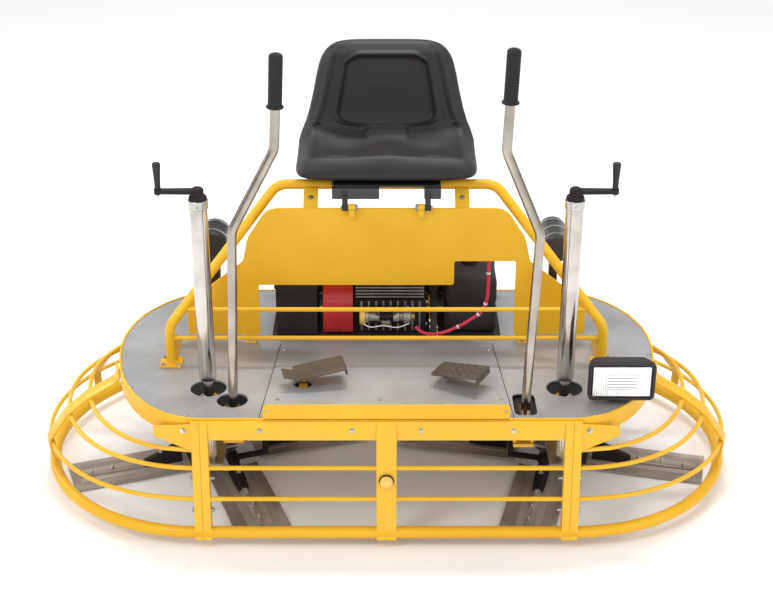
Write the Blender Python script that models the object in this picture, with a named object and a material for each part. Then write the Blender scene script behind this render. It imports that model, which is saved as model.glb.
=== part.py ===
"""Twin-rotor ride-on power trowel, as separate solids.

Metres, +Z up. The origin is on the floor under the middle of the guard ring.
The operator faces -Y, so "left" and "right" are the -X and +X sides.
"""

import math

import bmesh
import bpy
from mathutils import Matrix, Vector

# ---------------------------------------------------------------- driving sizes
FIT_GAP = 0.0003            # between pieces that touch
CUT = 0.010                 # how far a cutter runs past what it cuts
PIN_STEPS = 20              # sides of a pin and of the bore it turns in

GUARD_LENGTH = 1.974        # overall, along X
GUARD_DEPTH = 1.000         # overall, along Y
RING_RADIUS = 0.016         # bottom tube
RING_Z = 0.043
ROD_RADIUS = 0.0063         # the thin guard rails
POST_WIDTH = 0.0215         # one half of a bolted corner post
CENTRE_POST_WIDTH = 0.053
POST_DEPTH = 0.035
POST_LEAN = 0.037           # how far a front post leans back over its height
FRONT_RAIL_Z = (0.144, 0.233)
REAR_RAILS = ((0.130, 0.485), (0.215, 0.390), (0.265, 0.330))   # (z, y)
END_RAILS = ((0.130, 0.011), (0.215, 0.073), (0.265, 0.136))    # (z, inset from the end)
GUSSET_REACH = 0.125
GUSSET_DROP = 0.045
END_STRUTS = ((33.0, 0.015), (-18.0, 0.019))      # (degrees round the end, half width)
STRUT_THICKNESS = 0.006

DECK_TOP = 0.370
DECK_THICKNESS = 0.004
DECK_CENTRE_X = 0.480       # where the straight sides end
DECK_FRONT = 0.454
DECK_REAR = 0.352
DECK_END = 0.278            # half-axis of the rounded ends
BAND_HEIGHT = 0.053
BAND_THICKNESS = 0.006
BAND_LIP = 0.0025           # band above the deck plate
COVER_THICKNESS = 0.003     # the raised middle plate
COVER_REAR_HALF = 0.300
COVER_FRONT_HALF = 0.330
COVER_REAR_Y = -0.020
TOE_HALF = 0.320
TOE_HEIGHT = 0.043
BAY_HALF = 0.330            # engine opening in the deck
BAY_FRONT_Y = 0.020
BAY_REAR_Y = 0.330

BAR_WIDTH = 0.030           # members under the deck
BAR_HEIGHT = 0.030
FRONT_BAR_Y = -0.140
REAR_BAR_Y = 0.230

ROTOR_X = 0.485             # rotor centres
BLADE_LENGTH = 0.356
BLADE_WIDTH = 0.152
BLADE_THICKNESS = 0.0035
TIP_RADIUS = 0.455
LEFT_BLADE_ANGLE = 20.0     # degrees, first blade of four
RIGHT_BLADE_ANGLE = -14.0
ARM_Z = 0.045               # pitch axis of the arms
ARM_RADIUS = 0.011
ARM_BAR_HALF = 0.018
ARM_START = 0.062           # inner end of an arm's shaft, from the rotor's axis
BAR_START = 0.128           # the bar that lies on the blade
BAR_END = 0.430
SOCKET_RADIUS = 0.019
SOCKET_END = 0.100
HUB_RADIUS = 0.052
HUB_TOP = 0.070
SHAFT_RADIUS = 0.018
SHAFT_REACH = 0.028         # of the rotor's shaft inside the gear case
COLLAR_RADIUS = 0.124
COLLAR_THICKNESS = 0.010
FINGER_HEIGHT = 0.040       # pitch finger above the arm's axis
FINGER_INNER = 0.025
FINGER_OUTER = 0.040

GEARBOX_HALF_X = 0.060
GEARBOX_HALF_Y = 0.100
GEARBOX_LOW = 0.130
GEARBOX_HIGH = 0.262
TILT_Z = 0.200              # trunnion and drive shaft height
TRUNNION_RADIUS = 0.012
LUG_THICKNESS = 0.014
LUG_HALF = 0.030
LUG_CLEARANCE = 0.006       # between gearbox side and lug

POST_X = 0.480              # crank post
POST_Y = -0.283
POST_HOLE = 0.050
POST_RADIUS = 0.023
POST_BORE = 0.0193
ROD_INNER_RADIUS = 0.014
POST_FOOT_Z = 0.400
POST_TOP_Z = 0.915
CRANK_REACH = 0.100
CRANK_HUB_RADIUS = 0.016
HANDLE_HEIGHT = 0.070
HANDLE_RADIUS = 0.011
PIN_RADIUS = 0.005

LEVER_RADIUS = 0.0125
LEVER_SIDES = 10
LEFT_LEVER_X = -0.410
LEFT_LEVER_Y = -0.350
LEFT_HOLE = 0.0425
RIGHT_LEVER_X = 0.365
RIGHT_LEVER_Y = -0.372
LEVER_SHAPE = {             # side: x of the knee, the neck and the top, height of the top
    -1: (-0.390, -0.276, -0.265, 1.301),
    1: (0.386, 0.294, 0.303, 1.319),
}
SLOT_WIDTH = 0.060
SLOT_LENGTH = 0.118
LEVER_PIVOT_Z = 0.290
LEVER_KNEE_Z = 0.855
LEVER_NECK_Z = 1.073
LEVER_BEND = 0.060
GRIP_LENGTH = 0.137
GRIP_RADIUS = 0.018
GRIP_CAP = 0.014
PIVOT_BLOCK = 0.016
PIVOT_PIN = 0.006
LEVER_ROOT_HALF = 0.008     # half of the two-way lever's block
WINDOW_HALF = 0.013         # half of the gimbal's window, along X
GIMBAL_HALF = 0.007
GIMBAL_PIN = 0.0045

LEG_RADIUS = 0.014          # arch tube
LEG_X = 0.598
LEG_Y = -0.138
LEG_KNEE_Z = 0.485
ARCH_CORNER_X = 0.305
ARCH_Y = 0.081
ARCH_Z = 0.820
LEG_BEND = 0.060
CROSS_ROD_RADIUS = 0.0063
CROSS_ROD_Z = (0.449, 0.524)
FOOT_HALF = 0.030
FOOT_THICKNESS = 0.006
TAB_X = 0.210
TAB_HALF = 0.020
TAB_THICKNESS = 0.005

PANEL_Y = 0.000
PANEL_THICKNESS = 0.006
PANEL_TOP = 0.779
PANEL_TOP_HALF = 0.330
PANEL_SHOULDER_X = 0.390
PANEL_SHOULDER_Z = 0.685
CHEEK_BOTTOM = 0.392
CHEEK_OUTER = 0.566
CHEEK_OUTER_Z = 0.500
BAY_OPEN_LEFT = -0.361
BAY_OPEN_RIGHT = 0.363
BAY_OPEN_TOP = 0.547
BAY_NOTCH_X = 0.190
BAY_NOTCH_TOP = 0.620

HINGE_X = 0.105
HINGE_Y = -0.010
HINGE_Z = 0.786
HINGE_RADIUS = 0.010
HINGE_PIN_RADIUS = 0.004
KNUCKLE = 0.018             # length of one knuckle

SEAT_WIDTH = 0.507
SEAT_WAIST = 0.474
SEAT_TOP_WIDTH = 0.380
SEAT_FRONT_Y = 0.000
SEAT_BOTTOM = 0.842
SEAT_FRONT_TOP = 0.905
SEAT_BACK_Y = 0.380
SEAT_BACK_TOP = 1.163
SEAT_BACK_THICKNESS = 0.085

LAMP_X = 0.625
LAMP_Y = -0.345
LAMP_WIDTH = 0.178
LAMP_HEIGHT = 0.117
LAMP_DEPTH = 0.080
LAMP_PIVOT_Z = 0.392
LENS_WIDTH = 0.151
LENS_HEIGHT = 0.085
LENS_THICKNESS = 0.008
LENS_RISE = 0.016           # lens edge above the housing's
LAMP_PIN = 0.0045
LAMP_RISE = 0.012           # housing above its pivot

PEDAL_LENGTH = 0.140
PEDAL_WIDTH = 0.084
PEDAL_THICKNESS = 0.005
PEDAL_SLOPE = 8.0           # degrees, free end up
PEDAL_PIVOT_Z = 0.394
LEFT_PEDAL = (-0.226, -0.262, 12.0)     # x, y of the pivot, heading in degrees
RIGHT_PEDAL = (0.158, -0.246, -28.0)
PEDAL_HOLE = 0.0265
PEDAL_POST = 0.010
PEDAL_PIN = 0.0035

ENGINE_X = (-0.095, 0.115)
ENGINE_Y = (0.065, 0.300)
ENGINE_TOP = 0.600
CRANKSHAFT_Y = 0.190
CRANKSHAFT_Z = 0.480
FAN_RADIUS = 0.100
PULLEY_X = 0.138
BELT_WIDTH = 0.018
ENGINE_PULLEY = 0.045
SHAFT_PULLEY = 0.075
BELT_THICKNESS = 0.009
CABLE_Y = 0.0125
CABLE_RADIUS = 0.005
BATTERY_X = (-0.318, -0.200)
BATTERY_Y = (0.050, 0.210)
BATTERY_TOP = 0.500
BATTERY_LID = 0.004         # how far the lid stands out
TANK_X = (0.170, 0.318)
TANK_Y = (0.060, 0.300)
TANK_TOP = 0.540
TANK_EDGE = 0.020
CLEANER_AT = (-0.500, 0.150, 0.620)
CLEANER_RADIUS = 0.050
CLEANER_LENGTH = 0.122
MUFFLER_AT = (0.485, 0.150, 0.625)
MUFFLER_RADIUS = 0.042
MUFFLER_LENGTH = 0.156
TAIL_RADIUS = 0.012
TAIL_LENGTH = 0.030
STALK_FOOT = 0.030          # half of a stalk's foot plate
DRIVE_RADIUS = 0.015

SIDE_NAMES = {-1: "left", 1: "right"}

COLOURS = {                 # base colour, metallic, roughness
    "yellow": ((0.890, 0.500, 0.030), 0.0, 0.40),
    "deck_grey": ((0.380, 0.400, 0.420), 0.3, 0.50),
    "steel": ((0.560, 0.540, 0.520), 0.9, 0.25),
    "blade_steel": ((0.170, 0.145, 0.130), 0.8, 0.40),
    "black": ((0.018, 0.017, 0.017), 0.0, 0.45),
    "cast_black": ((0.035, 0.028, 0.025), 0.3, 0.55),
    "cast_alloy": ((0.420, 0.420, 0.400), 0.8, 0.45),
    "red": ((0.600, 0.020, 0.030), 0.0, 0.35),
    "glass": ((0.850, 0.880, 0.900), 0.0, 0.05),
    "pale_yellow": ((0.900, 0.660, 0.200), 0.0, 0.35),
}


# ---------------------------------------------------------------- mesh helpers
def make(name, verts, faces):
    """One mesh object from points and faces, with its faces turned outwards."""
    mesh = bpy.data.meshes.new(name)
    mesh.from_pydata([tuple(v) for v in verts], [], faces)
    work = bmesh.new()
    work.from_mesh(mesh)
    bmesh.ops.recalc_face_normals(work, faces=work.faces)
    work.to_mesh(mesh)
    work.free()
    obj = bpy.data.objects.new(name, mesh)
    bpy.context.scene.collection.objects.link(obj)
    return obj


def prism(name, outline, low, high, axis="Z"):
    """An outline pushed from low to high along an axis.

    The outline lies in XY for axis Z, in XZ for axis Y, and in YZ for axis X.
    """
    place = {
        "Z": lambda p, h: (p[0], p[1], h),
        "Y": lambda p, h: (p[0], h, p[1]),
        "X": lambda p, h: (h, p[0], p[1]),
    }[axis]
    count = len(outline)
    verts = [place(p, low) for p in outline] + [place(p, high) for p in outline]
    faces = [tuple(range(count)), tuple(range(2 * count - 1, count - 1, -1))]
    for i in range(count):
        j = (i + 1) % count
        faces.append((i, j, count + j, count + i))
    return make(name, verts, faces)


def block(name, low, high):
    """A box between two corners."""
    outline = [(low[0], low[1]), (high[0], low[1]), (high[0], high[1]), (low[0], high[1])]
    return prism(name, outline, low[2], high[2])


def turned(name, profile, centre, axis="Z", steps=24, closed=False):
    """A profile of (radius, height) turned about an axis through centre."""
    verts = []
    rings = []
    for radius, height in profile:
        if radius < 1e-9:
            rings.append([len(verts)])
            verts.append((0.0, 0.0, height))
            continue
        rings.append(list(range(len(verts), len(verts) + steps)))
        for k in range(steps):
            angle = 2 * math.pi * k / steps
            verts.append((radius * math.cos(angle), radius * math.sin(angle), height))
    pairs = list(zip(rings, rings[1:]))
    if closed:
        pairs.append((rings[-1], rings[0]))
    faces = []
    for low, high in pairs:
        for k in range(steps):
            n = (k + 1) % steps
            if len(low) == 1 and len(high) == 1:
                continue
            if len(low) == 1:
                faces.append((low[0], high[k], high[n]))
            elif len(high) == 1:
                faces.append((low[k], low[n], high[0]))
            else:
                faces.append((low[k], low[n], high[n], high[k]))
    turn = {
        "Z": Matrix.Identity(4),
        "X": Matrix.Rotation(math.radians(90), 4, "Y"),
        "Y": Matrix.Rotation(math.radians(-90), 4, "X"),
    }[axis]
    place = Matrix.Translation(Vector(centre)) @ turn
    return make(name, [place @ Vector(v) for v in verts], faces)


def rod(name, centre, radius, length, axis="Z", steps=16):
    """A plain round bar that starts at centre and runs along +axis."""
    return turned(name, [(0, 0), (radius, 0), (radius, length), (0, length)], centre, axis, steps)


def tube(name, path, radius, sides=8):
    """A round bar along a list of points, with flat ends."""
    points = [Vector(p) for p in path]
    tangents = []
    for i in range(len(points)):
        back = points[max(i - 1, 0)]
        ahead = points[min(i + 1, len(points) - 1)]
        tangents.append((ahead - back).normalized())
    side = tangents[0].orthogonal().normalized()
    verts = []
    for i, (point, tangent) in enumerate(zip(points, tangents)):
        side = (side - tangent * side.dot(tangent)).normalized()
        other = tangent.cross(side)
        stretch = 1.0
        if 0 < i < len(points) - 1:
            stretch = 1.0 / max((point - points[i - 1]).normalized().dot(tangent), 0.5)
        for k in range(sides):
            angle = 2 * math.pi * (k + 0.5) / sides
            verts.append(point + (side * math.cos(angle) + other * math.sin(angle)) * radius * stretch)
    faces = [tuple(range(sides))]
    for i in range(len(points) - 1):
        for k in range(sides):
            n = (k + 1) % sides
            faces.append((i * sides + k, i * sides + n, (i + 1) * sides + n, (i + 1) * sides + k))
    faces.append(tuple(range(len(points) * sides - 1, (len(points) - 1) * sides - 1, -1)))
    return make(name, verts, faces)


def rounded(points, radius, steps=5):
    """A path through the points whose corners are arcs of about the radius."""
    corners = [Vector(p) for p in points]
    path = [corners[0]]
    for before, corner, after in zip(corners, corners[1:], corners[2:]):
        into = (corner - before).normalized()
        out = (after - corner).normalized()
        half = into.angle(out) / 2
        cut = radius * math.tan(half)
        start = corner - into * cut
        end = corner + out * cut
        for k in range(steps + 1):
            t = k / steps
            path.append(start * (1 - t) ** 2 + corner * 2 * t * (1 - t) + end * t ** 2)
    path.append(corners[-1])
    return path


def bore_radius(radius, steps, clearance=FIT_GAP):
    """Radius of a faceted bore in which a faceted pin of the same number of sides can turn."""
    return (radius + clearance) / math.cos(math.pi / steps)


def boolean(target, tool, operation):
    """Apply one exact boolean and remove the tool."""
    modifier = target.modifiers.new(operation.lower(), "BOOLEAN")
    modifier.operation = operation
    modifier.object = tool
    modifier.solver = "EXACT"
    graph = bpy.context.evaluated_depsgraph_get()
    mesh = bpy.data.meshes.new_from_object(target.evaluated_get(graph))
    target.modifiers.clear()
    old = target.data
    target.data = mesh
    bpy.data.meshes.remove(old)
    bpy.data.objects.remove(tool)


def weld(target, *parts):
    """Join parts that cross each other into one body."""
    for part in parts:
        boolean(target, part, "UNION")
    return target


def cut(target, *tools):
    """Take the tools' shapes out of the target."""
    for tool in tools:
        boolean(target, tool, "DIFFERENCE")
    return target


def spin(obj, degrees, about, axis="Z"):
    """Turn an object's points about a line."""
    centre = Vector(about)
    turn = Matrix.Rotation(math.radians(degrees), 4, axis)
    obj.data.transform(Matrix.Translation(centre) @ turn @ Matrix.Translation(-centre))
    return obj


def finish(obj, name, colour, origin=None, smooth=35.0):
    """Name a piece, give it its material, and put its origin on its joint."""
    obj.name = name
    obj.data.name = name
    base, metallic, roughness = COLOURS[colour]
    material = bpy.data.materials.get(colour)
    if material is None:
        material = bpy.data.materials.new(colour)
        material.use_nodes = True
        shader = material.node_tree.nodes["Principled BSDF"]
        shader.inputs["Base Color"].default_value = (*base, 1.0)
        shader.inputs["Metallic"].default_value = metallic
        shader.inputs["Roughness"].default_value = roughness
    obj.data.materials.clear()
    obj.data.materials.append(material)
    obj.data.shade_smooth()
    obj.data.set_sharp_from_angle(angle=math.radians(smooth))
    if origin is not None:
        obj.data.transform(Matrix.Translation(-Vector(origin)))
        obj.location = origin
    return obj


# ---------------------------------------------------------------- guard cage
GUARD_STRAIGHT = GUARD_LENGTH / 2 - GUARD_DEPTH / 2
RING_PATH = GUARD_DEPTH / 2 - RING_RADIUS
RING_BOTTOM = RING_Z - RING_RADIUS
BAND_TOP = DECK_TOP + BAND_LIP
BAND_BOTTOM = BAND_TOP - BAND_HEIGHT
BEAM_TOP = DECK_TOP - 0.003
BEAM_FRONT = -(DECK_FRONT + FIT_GAP + 0.0085)
BEAM_BACK = -(DECK_FRONT + FIT_GAP)


def post_front(z):
    """Y of a front post's face at a height."""
    top = -GUARD_DEPTH / 2 + POST_LEAN
    share = (z - RING_BOTTOM) / (BEAM_TOP - RING_BOTTOM)
    return -GUARD_DEPTH / 2 + (top + GUARD_DEPTH / 2) * share


def front_post(name, low_x, high_x):
    """A leaning post that reaches up in front of the deck band."""
    shelf = BAND_BOTTOM - 0.004
    outline = [
        (post_front(RING_BOTTOM), RING_BOTTOM),
        (post_front(BEAM_TOP), BEAM_TOP),
        (BEAM_BACK, BEAM_TOP),
        (BEAM_BACK, shelf),
        (BEAM_BACK + 0.006, shelf - 0.006),
        (post_front(RING_BOTTOM) + POST_DEPTH, RING_BOTTOM),
    ]
    return prism(name, outline, low_x, high_x, "X")


def rear_post(name, low_x, high_x):
    """A cranked post that follows the rear rails up to the deck band."""
    back = DECK_REAR + FIT_GAP
    outer = [(GUARD_DEPTH / 2, RING_BOTTOM)]
    for z, y in REAR_RAILS:
        outer.append((y + 0.012, z + 0.006))
    outer.append((back + 0.010, REAR_RAILS[-1][0] + 0.035))
    outer.append((back + 0.008, BEAM_TOP))
    inner = [(back, BEAM_TOP), (back, BAND_BOTTOM - 0.004)]
    for z, y in reversed(REAR_RAILS):
        inner.append((y - 0.022, z - 0.006))
    inner.append((GUARD_DEPTH / 2 - POST_DEPTH, RING_BOTTOM))
    return prism(name, outer + inner, low_x, high_x, "X")


def ellipse(side, centre_x, reach, front, rear, z, steps=20):
    """Half a loop round one end, from the front to the rear."""
    path = []
    for k in range(steps + 1):
        angle = math.pi * (k / steps - 0.5)
        depth = front if angle < 0 else rear
        height = z(angle) if callable(z) else z
        path.append((side * (centre_x + reach * math.cos(angle)), depth * math.sin(angle), height))
    return path


def end_strut(side, angle, half):
    """A flat strut that follows the guard from the ring, over the rails, up to the deck band."""
    joint_x = GUARD_STRAIGHT
    ahead = angle < 0

    def foot(inset, depth, z):
        reach = GUARD_LENGTH / 2 - inset - joint_x
        return joint_x + reach * math.cos(angle), depth * math.sin(angle), z

    feet = [foot(RING_RADIUS, RING_PATH, RING_Z)]
    for index, (z, inset) in enumerate(END_RAILS):
        depth = REAR_RAILS[index][1]
        if ahead and index < len(FRONT_RAIL_Z):
            front_z = FRONT_RAIL_Z[index]
            depth = -(post_front(front_z) + ROD_RADIUS + 0.002)
            z += (front_z - z) * math.sin(angle) ** 2
        elif ahead:
            depth = DECK_FRONT
        feet.append(foot(inset, depth, z))
    deck_depth = DECK_FRONT if ahead else DECK_REAR
    band = (DECK_CENTRE_X + (DECK_END + 0.006) * math.cos(angle), (deck_depth + 0.006) * math.sin(angle))
    feet.append((*band, BAND_BOTTOM + 0.004))
    feet.append((*band, BAND_TOP - 0.006))
    along = Vector((-math.sin(angle), math.cos(angle), 0)) * half
    out = Vector((math.cos(angle), math.sin(angle), 0.6)).normalized() * STRUT_THICKNESS / 2
    verts = []
    for p in feet:
        for sign_a, sign_o in ((-1, -1), (1, -1), (1, 1), (-1, 1)):
            corner = Vector(p) + along * sign_a + out * sign_o
            verts.append((side * corner.x, corner.y, corner.z))
    last = len(verts) - 1
    faces = [(0, 1, 2, 3), (last, last - 1, last - 2, last - 3)]
    for i in range(len(feet) - 1):
        for k in range(4):
            n = (k + 1) % 4
            faces.append((4 * i + k, 4 * i + n, 4 * i + 4 + n, 4 * i + 4 + k))
    return make("strut", verts, faces)


def guard_end(side, name):
    """One rounded end: the tube, three rails, two corner posts, two struts and gusset."""
    joint_x = GUARD_STRAIGHT
    edge = joint_x + FIT_GAP / 2
    spans = sorted((side * edge, side * (edge + POST_WIDTH)))
    body = front_post(name, *spans)
    weld(body, rear_post("rear_post", *spans))
    start = side * (edge + POST_WIDTH / 2)
    lead = [(start, -RING_PATH, RING_Z)]
    tail = [(start, RING_PATH, RING_Z)]
    ring = ellipse(side, joint_x + POST_WIDTH / 2, GUARD_LENGTH / 2 - RING_RADIUS - joint_x - POST_WIDTH / 2,
                   RING_PATH, RING_PATH, RING_Z, 20)
    weld(body, tube("ring", lead + ring[1:-1] + tail, RING_RADIUS, 10))
    for index, (z, inset) in enumerate(END_RAILS):
        reach = GUARD_LENGTH / 2 - inset - joint_x - POST_WIDTH / 2
        if index < len(FRONT_RAIL_Z):
            front_z = FRONT_RAIL_Z[index]
            front = -(post_front(front_z) + ROD_RADIUS + 0.002)
        else:
            front_z = z
            front = DECK_FRONT
        rise = front_z - z

        def height(angle, base=z, lift=rise):
            return base + lift * (math.sin(angle) ** 2 if angle < 0 else 0.0)

        path = ellipse(side, joint_x + POST_WIDTH / 2, reach, front, REAR_RAILS[index][1], height, 16)
        if index == len(FRONT_RAIL_Z):
            path = path[2:]
            path.insert(0, (side * (joint_x + POST_WIDTH * 0.6), -DECK_FRONT + 0.001, z + 0.012))
        weld(body, tube("rail", path, ROD_RADIUS, 6))
    # the gusset follows the deck's corner from the post outwards
    inner = Vector((joint_x + 0.004, -DECK_FRONT - 0.0070))
    heading = math.radians(17.0)
    outer = inner + Vector((math.cos(heading), math.sin(heading))) * GUSSET_REACH
    across = Vector((math.sin(heading), -math.cos(heading))) * 0.006
    low = BAND_BOTTOM
    corners = [
        (inner, low - GUSSET_DROP), (inner, BEAM_TOP - 0.004), (outer, BEAM_TOP - 0.030), (outer, low - 0.012),
    ]
    verts = [(side * p.x, p.y, z) for p, z in corners]
    verts += [(side * (p + across).x, (p + across).y, z) for p, z in corners]
    faces = [(0, 1, 2, 3), (7, 6, 5, 4)] + [(i, (i + 1) % 4, 4 + (i + 1) % 4, 4 + i) for i in range(4)]
    weld(body, make("gusset", verts, faces))
    for degrees, half in END_STRUTS:
        weld(body, end_strut(side, math.radians(degrees), half))
    cut(body, deck_solid("clear", FIT_GAP, 0.0, BAND_TOP + 0.05, BAND_BOTTOM - FIT_GAP))
    return finish(body, name, "yellow")


def guard_front():
    """The straight front section, with its beam, two rails and centre post."""
    edge = GUARD_STRAIGHT - FIT_GAP / 2
    body = prism("front", [
        (BEAM_FRONT, BEAM_TOP), (BEAM_BACK, BEAM_TOP), (BEAM_BACK, BAND_BOTTOM - FIT_GAP),
        (BEAM_BACK + 0.030, BAND_BOTTOM - FIT_GAP), (BEAM_BACK + 0.030, BAND_BOTTOM - 0.007),
        (BEAM_FRONT, BAND_BOTTOM - 0.007),
    ], -edge + POST_WIDTH / 2, edge - POST_WIDTH / 2, "X")
    for side in (-1, 1):
        spans = sorted((side * edge, side * (edge - POST_WIDTH)))
        weld(body, front_post("post", *spans))
    weld(body, front_post("post", -CENTRE_POST_WIDTH / 2, CENTRE_POST_WIDTH / 2))
    reach = edge - POST_WIDTH / 2
    weld(body, tube("ring", [(-reach, -RING_PATH, RING_Z), (reach, -RING_PATH, RING_Z)], RING_RADIUS, 10))
    for z in FRONT_RAIL_Z:
        y = post_front(z) + ROD_RADIUS + 0.002
        weld(body, tube("rail", [(-reach, y, z), (reach, y, z)], ROD_RADIUS, 8))
    return finish(body, "guard_front", "yellow")


def guard_rear():
    """The straight rear section, with three rails and a centre post."""
    edge = GUARD_STRAIGHT - FIT_GAP / 2
    body = rear_post("rear", -CENTRE_POST_WIDTH / 2, CENTRE_POST_WIDTH / 2)
    reach = edge - POST_WIDTH / 2
    weld(body, tube("ring", [(-reach, RING_PATH, RING_Z), (reach, RING_PATH, RING_Z)], RING_RADIUS, 10))
    for side in (-1, 1):
        spans = sorted((side * edge, side * (edge - POST_WIDTH)))
        weld(body, rear_post("post", *spans))
    for z, y in REAR_RAILS:
        weld(body, tube("rail", [(-reach, y, z), (reach, y, z)], ROD_RADIUS, 8))
    return finish(body, "guard_rear", "yellow")


def bumper_knob():
    """The round rubber stop on the centre post's face."""
    z = 0.200
    face = post_front(z) - FIT_GAP
    lean = math.degrees(math.atan2(POST_LEAN, BEAM_TOP - RING_BOTTOM))
    profile = [(0, 0), (0.016, 0), (0.016, 0.005), (0.020, 0.007), (0.020, 0.012), (0.012, 0.017), (0, 0.0175)]
    knob = turned("knob", profile, (0, 0, 0), "Y", 20)
    spin(knob, 180.0, (0, 0, 0), "Z")
    spin(knob, -lean, (0, 0, 0), "X")
    knob.data.transform(Matrix.Translation((0, face, z)))
    return finish(knob, "bumper_knob", "pale_yellow")


# ---------------------------------------------------------------- deck and frame
def deck_outline(inset, steps=10):
    """The deck's outline: straight front and rear, half-ellipses at the ends."""
    points = []
    for side, start in ((1, -90), (-1, 90)):
        for k in range(2 * steps + 1):
            angle = math.radians(start + 90.0 * k / steps)
            sine = math.sin(angle)
            depth = (DECK_FRONT if sine < 0 else DECK_REAR) - inset
            cosine = abs(math.cos(angle))
            points.append((side * (DECK_CENTRE_X + (DECK_END - inset) * cosine), depth * sine))
    return points


def deck_solid(name, grow, inset, high, low):
    """The deck's outline as a solid, grown or inset."""
    return prism(name, deck_outline(inset - grow), low, high)


def hole(x, y, radius, low=0.30, high=0.45, steps=28):
    """A round cutter through the deck."""
    return rod("hole", (x, y, low), radius, high - low, "Z", steps)


def slot_outline(x, y, width, length, corner=0.018, steps=4):
    """A rounded rectangle, long in Y."""
    points = []
    for sx, sy, start in ((1, 1, 0), (-1, 1, 90), (-1, -1, 180), (1, -1, 270)):
        for k in range(steps + 1):
            angle = math.radians(start + 90.0 * k / steps)
            cx = x + sx * (width / 2 - corner)
            cy = y + sy * (length / 2 - corner)
            points.append((cx + corner * math.cos(angle), cy + corner * math.sin(angle)))
    return points


def deck_cutters():
    """Openings that both deck plates keep clear."""
    cutters = [hole(side * POST_X, POST_Y, POST_HOLE) for side in (-1, 1)]
    cutters.append(hole(LEFT_LEVER_X, LEFT_LEVER_Y, LEFT_HOLE))
    slot = slot_outline(RIGHT_LEVER_X, RIGHT_LEVER_Y, SLOT_WIDTH, SLOT_LENGTH)
    cutters.append(prism("slot", slot, 0.30, 0.45))
    cutters.append(hole(LEFT_PEDAL[0], LEFT_PEDAL[1], PEDAL_HOLE, steps=20))
    return cutters


def deck_floor():
    """The grey foot plate inside the band."""
    low = DECK_TOP - DECK_THICKNESS
    plate = deck_solid("floor", 0.0, BAND_THICKNESS + FIT_GAP, DECK_TOP, low)
    cut(plate, *deck_cutters())
    cut(plate, block("bay", (-BAY_HALF, BAY_FRONT_Y, 0.3), (BAY_HALF, BAY_REAR_Y, 0.45)))
    return finish(plate, "deck_floor", "deck_grey")


def deck_cover():
    """The raised plate in the middle, which narrows towards the rear."""
    low = DECK_TOP + FIT_GAP
    front = -(DECK_FRONT - BAND_THICKNESS - FIT_GAP)
    outline = [
        (-COVER_FRONT_HALF, front), (COVER_FRONT_HALF, front),
        (COVER_REAR_HALF, COVER_REAR_Y), (-COVER_REAR_HALF, COVER_REAR_Y),
    ]
    plate = prism("cover", outline, low, low + COVER_THICKNESS)
    x, y, _ = LEFT_PEDAL
    cut(plate, hole(x, y, PEDAL_HOLE, steps=20))
    x, y, _ = RIGHT_PEDAL
    top = low + COVER_THICKNESS
    weld(plate, pedal_post("post", x, y, top - 0.001, RIGHT_PEDAL[2]))
    return finish(plate, "deck_cover", "deck_grey")


def pedal_post(name, x, y, low, heading):
    """A round post with a flat eye that carries a pedal's pin."""
    body = rod(name, (x, y, low), PEDAL_POST, PEDAL_PIVOT_Z - 0.008 - low, "Z", 16)
    eye = rod("eye", (x, y - 0.005, PEDAL_PIVOT_Z), 0.008, 0.010, "Y", 16)
    neck = block("neck", (x - 0.006, y - 0.005, PEDAL_PIVOT_Z - 0.012), (x + 0.006, y + 0.005, PEDAL_PIVOT_Z))
    weld(eye, neck)
    weld(eye, rod("pin", (x, y - 0.020, PEDAL_PIVOT_Z), PEDAL_PIN, 0.040, "Y", 12))
    spin(eye, heading, (x, y, 0))
    return weld(body, eye)


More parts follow.
